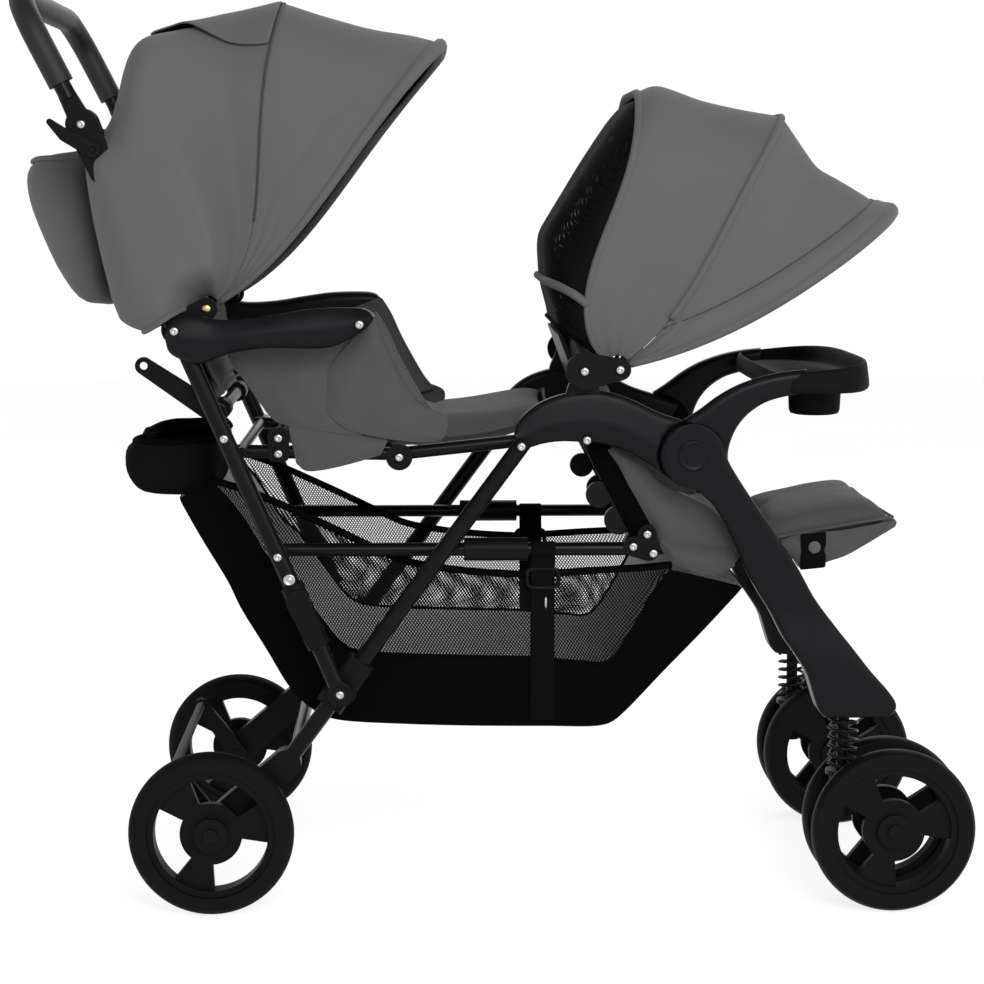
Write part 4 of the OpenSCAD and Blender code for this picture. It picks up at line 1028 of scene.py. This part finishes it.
BASKET_Y = 0.186
RAIL_Y = 0.1965
RAIL_Z = 0.4629
RAIL_R = 0.0085
BASKET_SHELL = [(-412, 530), (-385, 480), (-349, 419), (-334, 386), (-301, 331), (-269, 277), (-236, 247),
                (-204, 236), (-127, 231), (-36, 228), (63, 227), (134, 227), (160, 240), (216, 299),
                (268, 353), (321, 411)]
NET_EDGE = [(-367, 548), (-342, 520), (-321, 489), (-300, 454), (-271, 428), (-235, 378), (-207, 342),
            (-172, 327), (-54, 321), (34, 319), (106, 313), (138, 311), (157, 326), (187, 376), (201, 402),
            (215, 420), (226, 434)]
BASKET_RIM = [(-369, 553), (-328, 540), (-295, 527), (-227, 496), (-165, 466), (-122, 447), (-72, 437),
              (-18, 431), (40, 428), (80, 430), (128, 433), (186, 436), (226, 440)]
STRAP_X = 0.058


def basket_cloth(piece, cut, wide, trims=()):
    carry(piece, "fabric_black", "chassis")
    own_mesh(piece)
    for extra in trims:
        carry(extra, "fabric_black", "chassis")
        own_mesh(extra)
    declare_sheet(piece, cut, wide, ["basket_rails"], trims, held="hung")


def make_basket_floor():
    """One length of black cloth: the rear slope, the floor and the front slope."""
    shell = smooth_path(side_points(BASKET_SHELL, 0), 72)
    rows = []
    for i, p in enumerate(shell):
        ahead = shell[min(i + 1, 71)] - shell[max(i - 1, 0)]
        out = Vector((ahead.z, 0, -ahead.x)).normalized()
        row = []
        for j in range(29):
            v = 2 * j / 28 - 1
            q = Vector((p.x, BASKET_Y * v, p.z)) + out * (0.0026 * (1 - v * v))
            row.append(q + out * ruffle(q, 0.06, 0.0024, 21) * min(1.0, 8 * (1 - abs(v))))
        rows.append(row)
    # The pale inside of the floor cloth is painted light.
    floor = grid_object("basket_floor", rows, BLACK_CLOTH, BASKET_INSIDE_PAINTED_LIGHT)
    cut = area_of(floor)
    thicken(floor, 0.0024, offset=-1.0, lining=True)
    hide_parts("basket")
    basket_cloth(floor, cut, length_of(shell))


def make_basket_side(side, word):
    """A side of the basket: black border, net above it, a bound rim, and a strap over the rail."""
    shell, edge, rim = (smooth_path(side_points(line, 0), 72)
                        for line in (BASKET_SHELL, NET_EDGE, BASKET_RIM))
    border_rows, net_rows = [], []
    for a, b, c in zip(shell, edge, rim):
        row = []
        for j in range(9):
            p = a.lerp(b, j / 8)
            slack = abs(ruffle(p, 0.06, 0.003, 24)) * math.sin(math.pi * j / 8)
            row.append(Vector((p.x, side * (BASKET_Y + 0.0006 - slack), p.z)))
        border_rows.append(row)
        row = []
        for j in range(13):
            p = b.lerp(c, j / 12)
            slack = (0.006 + abs(ruffle(p, 0.05, 0.004, 23))) * math.sin(math.pi * j / 12)
            row.append(Vector((p.x, side * (BASKET_Y - 0.0004 - slack), p.z)))
        net_rows.append(row)
    # The pale inside of the border cloth is painted light.
    border = grid_object(f"basket_border_{word}", border_rows[::side], BLACK_CLOTH, BASKET_INSIDE_PAINTED_LIGHT)
    net = grid_object(f"basket_net_{word}", net_rows, NET)
    cuts = [area_of(border), area_of(net)]
    thicken(border, 0.0016, offset=-1.0, lining=True)
    thicken(net, 0.0010, offset=0.0)
    binding = tube_object(f"basket_rim_{word}", [Vector((p.x, side * (BASKET_Y - 0.001), p.z)) for p in rim],
                          0.0048, BLACK_CLOTH)
    piping = tube_object(f"basket_piping_{word}",
                         [Vector((p.x, side * (BASKET_Y + 0.0006), p.z)) for p in edge], 0.0022,
                         BLACK_CLOTH, sides=8)
    basket_cloth(border, cuts[0], length_of(shell), [piping])
    basket_cloth(net, cuts[1], length_of(edge), [binding])
    loop = RAIL_R + 0.0012
    path = [(0.1885, 0.236), (0.1888, 0.330), (0.1893, 0.415), (0.197, 0.4475), (RAIL_Y + loop, 0.4590)]
    path += [(RAIL_Y + loop * math.cos(a), RAIL_Z + loop * math.sin(a))
             for a in (0.0, 0.5, 1.0, 1.57, 2.1, 2.6, 3.1)]
    path += [(0.1855, 0.4480), (0.1838, 0.430)]
    strap = ribbon(f"basket_strap_{word}", smooth_path([(STRAP_X, side * y, z) for y, z in path], 60),
                   (1, 0, 0), 0.032, 0.0018, WEBBING)
    carry(strap, "fabric_black", "chassis")
    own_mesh(strap)
    buckle = buckle_frame(f"basket_buckle_{word}", Vector((STRAP_X, side * 0.1915, 0.424)))
    bar = tube_object(f"basket_buckle_pin_{word}",
                      [Vector((STRAP_X + 0.004, side * 0.1912, z))
                       for z in (0.384, 0.388, 0.392, 0.396, 0.400)],
                      lambda t: 0.0006 + 0.0014 * math.sin(math.pi * t), STEEL, sides=8)
    carry(buckle, "plastic_black", "chassis")
    carry(bar, "steel", "chassis")
    for extra in (buckle, bar):
        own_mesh(extra)


def buckle_frame(name, centre):
    """A rounded ladder-lock frame on the strap."""
    ring = [Vector((0.0205 * math.copysign(abs(math.cos(t)) ** 0.5, math.cos(t)), 0,
                    0.0125 * math.copysign(abs(math.sin(t)) ** 0.5, math.sin(t))))
            for t in circle(40)]
    return tube_object(name, [centre + p for p in ring], 0.0028, PLASTIC, sides=8, closed=True)


def make_basket():
    make_basket_floor()
    for side, word in SIDES:
        make_basket_side(side, word)


# Bags

def loft_bag(name, sections, material):
    """A bag lofted through rings of points, closed at its floor."""
    piece = grid_object(name, sections, material, wrap=True)
    close_mesh(piece, (range(len(sections[0])),))
    for face in piece.data.polygons:
        face.use_smooth = True
    cut = area_of(piece)
    thicken(piece, 0.0024)
    return piece, cut


def bag_ring(x0, x1, half, z0, z1, sag, square, seed):
    """A rounded ring of a bag, x from x0 to x1; z runs from z0 at x0 to z1 at x1."""
    ring = []
    for a in circle(48):
        c, s = math.cos(a), math.sin(a)
        u = math.copysign(abs(c) ** (2 / square), c)
        v = math.copysign(abs(s) ** (2 / square), s)
        x = (x0 + x1) / 2 + (x1 - x0) / 2 * u
        z = z0 + (z1 - z0) * (u + 1) / 2 - sag * (1 - v * v)
        p = Vector((x, half * v, z))
        ring.append(p + Vector((ruffle(p, 0.04, 0.004, seed), 0, ruffle(p, 0.05, 0.003, seed + 2))))
    return ring


POUCH_RINGS = ((-452, -378, 128, 526, 526, 0), (-472, -368, 145, 529, 529, 0),
               (-484, -365, 150, 539, 538, 0), (-492, -363, 151, 556, 554, 0),
               (-494, -362, 151, 574, 574, 0), (-489, -362, 150, 589, 592, 2),
               (-477, -365, 147, 597, 601, 4), (-469, -369, 145, 594, 598, 6),
               (-471, -368, 144, 582, 586, 6))
POCKET_RINGS = ((-543, -503, 116, 776, 768, 0), (-558, -498, 138, 792, 786, 0),
                (-580, -499, 147, 826, 820, 0), (-596, -505, 150, 862, 858, 0),
                (-609, -509, 150, 898, 896, 0), (-616, -512, 149, 926, 930, 0),
                (-617, -514, 147, 946, 954, 0), (-607, -515, 143, 960, 968, 0),
                (-586, -516, 138, 967, 974, 2), (-562, -517, 130, 970, 977, 3),
                (-542, -518, 120, 970, 977, 3))


BAG_WIDE = 0.62
BAGS = (
    # name, rings, squareness, seed, cloth, binding, slot, body, bound ring, its radius, held by,
    # node replaced
    ("rear_pouch", POUCH_RINGS, 4.2, 31, LINING, BLACK_CLOTH, "fabric_black", "chassis", 6, 0.0040,
     "basket_floor", None),
    ("hood_pocket", POCKET_RINGS, 3.2, 37, GREY_CLOTH, GREY_CLOTH, "fabric_grey", "push_frame", 7, 0.0034,
     "rear_hood_back", "rear_pocket"),
)


def make_bags():
    """The black pouch behind the rear seat and the grey pocket on the back of the rear hood."""
    for name, table, square, seed, cloth, bound, slot, body, at, radius, holder, node in BAGS:
        rings = [bag_ring(*(v / 1000 for v in row), square, seed) for row in table]
        bag, cut = loft_bag(name, rings, cloth)
        binding = tube_object(name + "_binding", rings[at], radius, bound, sides=8, closed=True)
        if node:
            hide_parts(node)
        for piece in (bag, binding):
            carry(piece, slot, body)
        declare_sheet(bag, cut, BAG_WIDE, [holder], [binding], held="hung")


# Finishes of the rigid parts

FINISHES = {
    "tube_black": TUBE_PAINT, "light_tube": TUBE_PAINT, "plastic_black": PLASTIC,
    "plastic_gloss": SATIN_PLASTIC, "fabric_grey": GREY_CLOTH, "fabric_dark": SEAT_CLOTH,
    "fabric_black": BLACK_CLOTH, "steel": STEEL, "tyre": TYRE, "rim": RIM_PLASTIC, "foam": GRIP_FOAM,
}
BLACKED = ("rear_axles", "pivot_pins", "frame_screws", "push_screws", "caster_spring_left",
           "caster_spring_right", "caster_stem_left", "caster_stem_right")

# Mouldings whose rims are rolled over, each with the radius of the roll
ROLLED = (
    ("handle_hinge_blocks", "hinge_block_mouldings", 0.0025),
    ("rear_canopy_brackets", "rear_bracket_mouldings", 0.0018),
    ("front_canopy_brackets", "front_bracket_mouldings", 0.0018),
    ("rail_joints", "rail_joint_mouldings", 0.0012), ("lower_joints", "lower_joint_mouldings", 0.002),
    ("rear_wheel_brackets", "rear_bracket_castings", 0.002),
    ("caster_fork_left", "fork_moulding_left", 0.0025), ("caster_fork_right", "fork_moulding_right", 0.0025),
    ("fold_triggers", "trigger_mouldings", 0.002),
)


def finish_nodes():
    """Gives every solid of the frame its finish."""
    for part in frame["record"]["subparts"]:
        piece = nodes[part["node"]]
        piece.data.materials.clear()
        piece.data.materials.append(TUBE_PAINT if part["node"] in BLACKED
                                    else FINISHES[part["material_slot"]])


def roll_rims():
    """Mouldings made from their solids, with the sharp rims rolled over."""
    parts = {part["node"]: part for part in frame["record"]["subparts"]}
    for node, name, radius in ROLLED:
        bm = node_mesh(node)
        bmesh.ops.dissolve_limit(bm, angle_limit=math.radians(0.7), verts=bm.verts, edges=bm.edges)
        bmesh.ops.recalc_face_normals(bm, faces=bm.faces)
        rims = [e for e in bm.edges if len(e.link_faces) == 2 and e.calc_face_angle(0.0) > math.radians(33)]
        bmesh.ops.bevel(bm, geom=rims, offset=radius, offset_type="OFFSET", segments=4, profile=0.5,
                        affect="EDGES", clamp_overlap=True)
        for face in bm.faces:
            face.smooth = True
        piece = mesh_object(name, [], [], FINISHES[parts[node]["material_slot"]])
        bm.to_mesh(piece.data)
        bm.free()
        m = piece.modifiers.new("even_shading", "WEIGHTED_NORMAL")
        m.keep_sharp = False
        carry(piece, parts[node]["material_slot"], nodes[node]["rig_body"])
        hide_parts(node)


HUB = (0.24718, 0.58735)
HUB_GAP = 0.0424
FIXED_HUB_FACE = 0.2205
HUB_CAP = ((20.0, -2.0), (20.0, 0.6), (19.2, 1.6), (17.6, 2.2), (16.2, 1.9), (15.2, 1.2), (13.8, 1.2),
           (4.0, 1.6), (0.8, 1.7))
# Inner and outer lateral faces of the mouldings
LEG_IN, LEG_OUT = 0.2130, 0.2380
ARCH_IN, ARCH_OUT = 0.2060, 0.2325
ARMREST_IN, ARMREST_OUT = 0.2415, 0.2720
ARM_IN = NECK_IN = 0.2080
NECK_OUT = 0.2275
# The leg is wider below this height, over this run
LEG_SPREAD_Z, LEG_SPREAD_RUN = 0.410, 0.120
LEG_LINES = (
    [(247, 629), (226, 624), (211, 608), (205, 587), (211, 566), (226, 551), (250, 543), (268, 529),
     (281, 513), (298, 482), (316, 441), (330, 414), (348, 385), (364, 354), (379, 332), (394, 308),
     (402, 284), (410, 260), (418, 250)],
    [(247, 629), (268, 624), (284, 608), (289, 590), (297, 572), (318, 539), (342, 504), (361, 476),
     (384, 441), (406, 402), (432, 367), (452, 342), (477, 310), (500, 284), (511, 267),
     (509, 256), (500, 250)])
ARCH_LINES = (
    [(20, 613), (23, 601), (34, 596), (56, 602), (79, 605), (107, 604), (130, 602), (153, 596), (176, 585),
     (196, 573), (215, 559), (240, 548)],
    [(20, 613), (23, 627), (33, 640), (50, 653), (73, 663), (101, 669), (130, 669), (153, 664), (176, 655),
     (205, 641), (238, 630), (274, 618)])
ARMREST_LINES = (
    [(-418, 744), (-413, 722), (-394, 711), (-375, 707), (-358, 712), (-337, 720), (-309, 725), (-282, 727),
     (-244, 726), (-216, 727), (-197, 733), (-180, 742), (-164, 754), (-156, 766)],
    [(-418, 744), (-415, 760), (-402, 768), (-378, 768), (-350, 762), (-309, 764), (-265, 771), (-227, 776),
     (-188, 777), (-167, 775), (-156, 766)])
ARM_LINES = (
    [(294, 567), (293, 590), (298, 610), (307, 627), (321, 642), (342, 655), (371, 663), (392, 666)],
    [(236, 632), (256, 645), (279, 662), (302, 675), (325, 684), (347, 690), (370, 694), (392, 696)])
NECK_LINES = ([(84, 640), (86, 668), (92, 684), (97, 700)], [(136, 640), (130, 668), (124, 684), (119, 700)])


def rounded_section(w, h, roll):
    """Points (across, deep) of a bar's cross section with rolled corners, from -w to w and -h to h."""
    flat, arc = 10, 4
    r = max(1e-5, min(roll, 0.96 * w, 0.96 * h))
    pts = []
    for k in range(4):
        turn = math.pi / 2 * (1 - k)
        cx, cy = ((w - r) * (1, 1, -1, -1)[k], (h - r) * (1, -1, -1, 1)[k])
        px, py = ((w - r) * (-1, 1, 1, -1)[k], (h - r) * (1, 1, -1, -1)[k])
        out = (r * math.cos(turn), r * math.sin(turn))
        pts += [(px + (cx - px) * i / flat + out[0], py + (cy - py) * i / flat + out[1])
                for i in range(flat)]
        pts += [(cx + r * math.cos(turn - math.pi / 2 * i / arc),
                 cy + r * math.sin(turn - math.pi / 2 * i / arc))
                for i in range(arc)]
    return pts


def bar_rings(lines, inner, outer, roll, rows, crown=None, fit=None):
    """Rings of a moulded bar between two edge lines; inner and outer give its lateral faces at a place."""
    a, b = (smooth_path(side_points(line, 0), rows) for line in lines)
    rings = []
    for p, q in zip(a, b):
        mid = (p + q) / 2
        across = (q - p) / 2
        w = max(2e-4, across.length)
        lo, hi = inner(mid), outer(mid)
        ring = []
        for s, d in rounded_section(w, (hi - lo) / 2, roll):
            place = mid + across.normalized() * s if across.length > 1e-6 else mid.copy()
            y = (lo + hi) / 2 + d
            if crown and d > 0:
                y += crown(s / w) * min(1.0, d / ((hi - lo) / 2))
            place.y = y
            ring.append(fit(place) if fit else place)
        rings.append(ring)
    return rings


def both_sides(name, rings, material):
    """One mesh of a bar on the left and its twin on the right."""
    return loft_object(name, (rings, [[Vector((p.x, -p.y, p.z)) for p in ring] for ring in rings]), material)


def hub_distance(p):
    return math.hypot(p.x - HUB[0], p.z - HUB[1])


def make_mouldings():
    """The arches, legs, armrests and tray: full rounded mouldings."""
    def spread(p):
        return ease((LEG_SPREAD_Z - p.z) / LEG_SPREAD_RUN)

    def leg_inner(p):
        return LEG_IN + 0.0085 * ease((0.058 - hub_distance(p)) / 0.014) - 0.012 * spread(p)

    def leg_outer(p):
        return LEG_OUT + 0.0130 * spread(p)

    def clear_of_hub(p):
        """The arch steps back where the leg's half of the hub turns over it."""
        p.y = min(p.y, FIXED_HUB_FACE + (0.2400 - FIXED_HUB_FACE) * ease((hub_distance(p) - 0.0425) / 0.004))
        return p

    def round_hub(p):
        d = hub_distance(p)
        if d < HUB_GAP:
            p.x = HUB[0] + (p.x - HUB[0]) * HUB_GAP / max(d, 1e-6)
            p.z = HUB[1] + (p.z - HUB[1]) * HUB_GAP / max(d, 1e-6)
        return p

    def ridge(s):
        """A ridge a third of the way up; the face above it leans back."""
        return 0.0012 - (0.0050 * (s + 0.25) / 1.25 if s > -0.25 else 0.0030 * (-0.25 - s) / 0.75)

    def shoulder(s):
        """The armrest's face leans in above its middle."""
        return -0.0060 * ease((s + 0.1) / 1.1)

    table = (
        ("leg_mouldings", bar_rings(LEG_LINES, leg_inner, leg_outer, 0.007, 90), "front_legs", "front_legs"),
        ("arch_mouldings",
         bar_rings(ARCH_LINES, lambda p: ARCH_IN, lambda p: ARCH_OUT, 0.008, 100, ridge, clear_of_hub),
         "front_arches", "chassis"),
        ("armrest_mouldings",
         bar_rings(ARMREST_LINES, lambda p: ARMREST_IN, lambda p: ARMREST_OUT, 0.011, 80, shoulder),
         "rear_armrests", "push_frame"),
        ("tray_arms", bar_rings(ARM_LINES, lambda p: ARM_IN, lambda p: ARCH_OUT, 0.009, 50, None, round_hub),
         None, "tray"),
    )
    for name, rings, node, body in table:
        piece = carry(both_sides(name, rings, SATIN_PLASTIC), "plastic_gloss", body)
        if node:
            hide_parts(node)
    neck = bar_rings(NECK_LINES, lambda p: NECK_IN, lambda p: NECK_OUT, 0.005, 14)
    carry(both_sides("arch_necks", neck, SATIN_PLASTIC), "plastic_gloss", "chassis")
    for side, word in SIDES:
        carry(lathe(f"hub_cap_{word}", HUB_CAP, (HUB[0], LEG_OUT, HUB[1]), side, SATIN_PLASTIC),
              "plastic_gloss", "front_legs")
    make_tray_dish()


TRAY_MIDDLE = (0.4150, 0.0)
TRAY_FRONT, TRAY_REAR, TRAY_SIDE = 0.0750, 0.0630, 0.2335
TRAY_LIFT = 0.10
CUP_MIDDLE = (0.42118, -0.104)
# Rings of the tray from the underside round the rim to the floor: share of the outline, height in mm
TRAY_RINGS = ((0.88, 665.0), (0.97, 665.6), (1.015, 668.0), (1.030, 671.5), (1.022, 679.0), (1.0, 690.0),
              (0.985, 697.5), (0.965, 700.6), (0.935, 700.9), (0.900, 699.0), (0.875, 694.0), (0.850, 686.0),
              (0.825, 681.0), (0.79, 679.4))
CUP_OUTSIDE = ((26.0, 629.0), (31.5, 630.5), (33.6, 635.0), (34.6, 655.0), (35.4, 663.0))
CUP_INSIDE = ((33.4, 679.4), (31.6, 677.8), (31.0, 674.0), (30.2, 650.0), (29.4, 637.0), (26.0, 634.5))


def make_tray_dish():
    """The tray: a dish with a rolled rim, and a cup well sunk through its floor."""
    turns = circle(120)

    def outline(share, z):
        ring = []
        for t in turns:
            c, s = math.cos(t), math.sin(t)
            x = (TRAY_FRONT * c ** 0.80 if c > 0 else -TRAY_REAR * (-c) ** 0.30) * share
            y = (math.copysign(abs(s) ** (0.55 if c > 0 else 0.30), s)
                 * (TRAY_SIDE - (1 - share) * TRAY_FRONT))
            rise = TRAY_LIFT * (x - TRAY_FRONT * 0.7) * ease((z - 679.4) / 20)
            ring.append(Vector((TRAY_MIDDLE[0] + x, TRAY_MIDDLE[1] + y, z / 1000 + rise)))
        return ring

    def well(r, z):
        return [Vector((CUP_MIDDLE[0] + r / 1000 * math.cos(t),
                        CUP_MIDDLE[1] + r / 1000 * math.sin(t), z / 1000))
                for t in turns]

    rings = ([well(*c) for c in CUP_OUTSIDE] + [outline(*o) for o in TRAY_RINGS]
             + [well(*c) for c in CUP_INSIDE])
    piece = carry(loft_object("tray_dish", [rings], TRAY_PLASTIC), "plastic_gloss", "tray")
    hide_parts("tray")


RIVET = ((6.2, -1.0), (6.2, 0.6), (5.6, 1.6), (4.2, 2.4), (2.0, 2.9), (0.6, 3.0))
BUTTON = ((7.5, -1.0), (7.5, 1.2), (6.6, 2.0), (5.2, 2.0), (4.6, 1.3), (2.6, 1.3), (1.8, 2.2), (0.5, 2.4))
SNAP = ((8.5, -1.0), (8.5, 1.6), (7.6, 2.6), (5.6, 2.8), (2.4, 3.0), (0.6, 3.0))
SCREW_HEAD = ((5.4, -0.6), (5.4, 0.3), (5.0, 1.2), (4.0, 1.9), (2.6, 2.3), (2.0, 2.3),
              (1.7, 1.5), (0.4, 1.4))


def solid_boxes(node):
    """The lowest and highest corners of each separate solid of a node."""
    bm = node_mesh(node)
    seen = set()
    for start in bm.verts:
        if start in seen:
            continue
        seen.add(start)
        group, front = [], [start]
        while front:
            v = front.pop()
            group.append(v.co.copy())
            fresh = [e.other_vert(v) for e in v.link_edges if e.other_vert(v) not in seen]
            seen.update(fresh)
            front += fresh
        yield [Vector([pick(p[k] for p in group) for k in range(3)]) for pick in (min, max)]
    bm.free()


def make_screw_heads():
    """A bright domed head on every screw, and on the pins of the lower pivots."""
    for node in ("frame_screws", "push_screws", "pivot_pins"):
        heads = []
        for low, high in solid_boxes(node):
            middle = (low + high) / 2
            if node == "pivot_pins" and abs(middle.x - LOWER_PIVOT[0]) > 0.01:
                continue
            side = 1 if middle.y > 0 else -1
            face = high.y if side > 0 else -low.y
            heads.append(turned_rings(SCREW_HEAD, (middle.x, face, middle.z), side, 20))
        carry(loft_object(node[:-1] + "_heads", heads, STEEL), "steel", nodes[node]["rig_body"])


def make_springs():
    """The caster springs, made from their solids."""
    for _, word in SIDES:
        node = f"caster_spring_{word}"
        bm = node_mesh(node)
        low = min(v.co.z for v in bm.verts)
        for face in bm.faces:
            face.smooth = True
        coil = mesh_object(f"spring_coil_{word}", [], [], TUBE_PAINT)
        bm.to_mesh(coil.data)
        bm.free()
        carry(coil, "steel", nodes[node]["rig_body"])
        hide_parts(node)
        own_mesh(coil)


def make_fittings():
    """Rivets, buttons and the footrest's tab."""
    for side, word in SIDES:
        for name, profile, place, material, slot, body in (
                ("rear_hood_rivet", RIVET, (REAR_HOOD_PIVOT[0], 0.2388, REAR_HOOD_PIVOT[1]), BRASS, "steel",
                 "push_frame"),
                ("front_hood_rivet", RIVET, (FRONT_HOOD_PIVOT[0], 0.2400, FRONT_HOOD_PIVOT[1]), BRASS,
                 "steel", "chassis"),
                ("push_tube_button", BUTTON, (-0.266, 0.2605, 0.4335), STEEL, "steel", "fold_locks"),
                ("footrest_snap", SNAP, (0.415, FOOT_SKIRT_Y + 0.0045, 0.459), GREY_PLASTIC, "plastic_black",
                 "footrest")):
            carry(lathe(f"{name}_{word}", profile, place, side, material), slot, body)
        tab = smooth_path([(0.4135, side * (FOOT_SKIRT_Y + y), z) for y, z in
                           ((0.0036, 0.478), (0.0056, 0.470), (0.0056, 0.450), (0.0050, 0.438),
                            (0.0030, 0.430))], 16)
        carry(ribbon(f"footrest_tab_{word}", tab, (1, 0, 0.1), 0.034, 0.0018, WEBBING), "fabric_black",
              "footrest")


# Camera, light and floor

CAMERA_AT = (-0.0947, -3.3951, 0.9228)
CAMERA_PITCH, CAMERA_YAW = 0.11997, 0.02711
FOCAL_PIXELS, FRAME_PIXELS, SENSOR = 2503.4, 984, 36.0
# The world's light by height: even round the sides, darker overhead
SKY_STOPS = ((0.30, 1.0), (0.75, 0.42))


def aim(thing, look):
    """Points a camera or lamp along a direction."""
    thing.rotation_mode = "QUATERNION"
    thing.rotation_quaternion = look.to_track_quat("-Z", "Y")


def make_camera():
    cam = bpy.data.objects.new("camera", bpy.data.cameras.new("camera"))
    bpy.context.scene.collection.objects.link(cam)
    level = math.cos(CAMERA_PITCH)
    cam.location = CAMERA_AT
    aim(cam, Vector((math.sin(CAMERA_YAW) * level, math.cos(CAMERA_YAW) * level, -math.sin(CAMERA_PITCH))))
    cam.data.sensor_width = SENSOR
    cam.data.lens = SENSOR * FOCAL_PIXELS / FRAME_PIXELS
    bpy.context.scene.camera = cam


def floor_finish():
    p = Paint("pale_floor")
    cloud = p.noise(p.place(), 2.0, 2.0)
    p.set(Base_Color=p.mix(cloud, (0.27, 0.27, 0.27), (0.31, 0.31, 0.31)), Roughness=0.9,
          Specular_IOR_Level=0.0, Emission_Color=(1.0, 1.0, 1.0), Emission_Strength=0.81)
    return p.block


def make_stage():
    floor = grid_object("floor", [[Vector((x, y, -0.0005)) for x in (-9.0, 9.0)] for y in (-9.0, 9.0)],
                        floor_finish())
    sky = Paint("studio", world=True)
    height = sky.add("ShaderNodeSeparateXYZ", {}, sky.place("Generated"), out=2)
    sky.set(Color=sky.add("ShaderNodeValToRGB", {"stops": SKY_STOPS}, height), Strength=1.0)
    bpy.context.scene.world = sky.block
    for name, place, target, size, power in (
            ("key", (0.6, -3.6, 2.4), (0, 0, 0.5), 2.0, 95.0),
            ("fill", (3.0, -2.4, 1.8), (0, 0, 0.5), 2.4, 30.0),
            ("back", (0.6, 3.2, 3.0), (0, 0, 0.6), 2.4, 40.0)):
        lamp = bpy.data.objects.new(name, bpy.data.lights.new(name, "AREA"))
        bpy.context.scene.collection.objects.link(lamp)
        lamp.data.shape = "DISK"
        lamp.data.size = size
        lamp.data.energy = power
        lamp.location = place
        aim(lamp, Vector(target) - Vector(place))


bpy.context.scene.view_settings.view_transform = "Standard"
make_camera()
make_stage()
finish_nodes()
roll_rims()
make_mouldings()
make_rear_hood()
make_front_hood()
make_pads()
make_side_cloths()
make_foot_under()
make_basket()
make_bags()
make_screw_heads()
make_springs()
make_fittings()
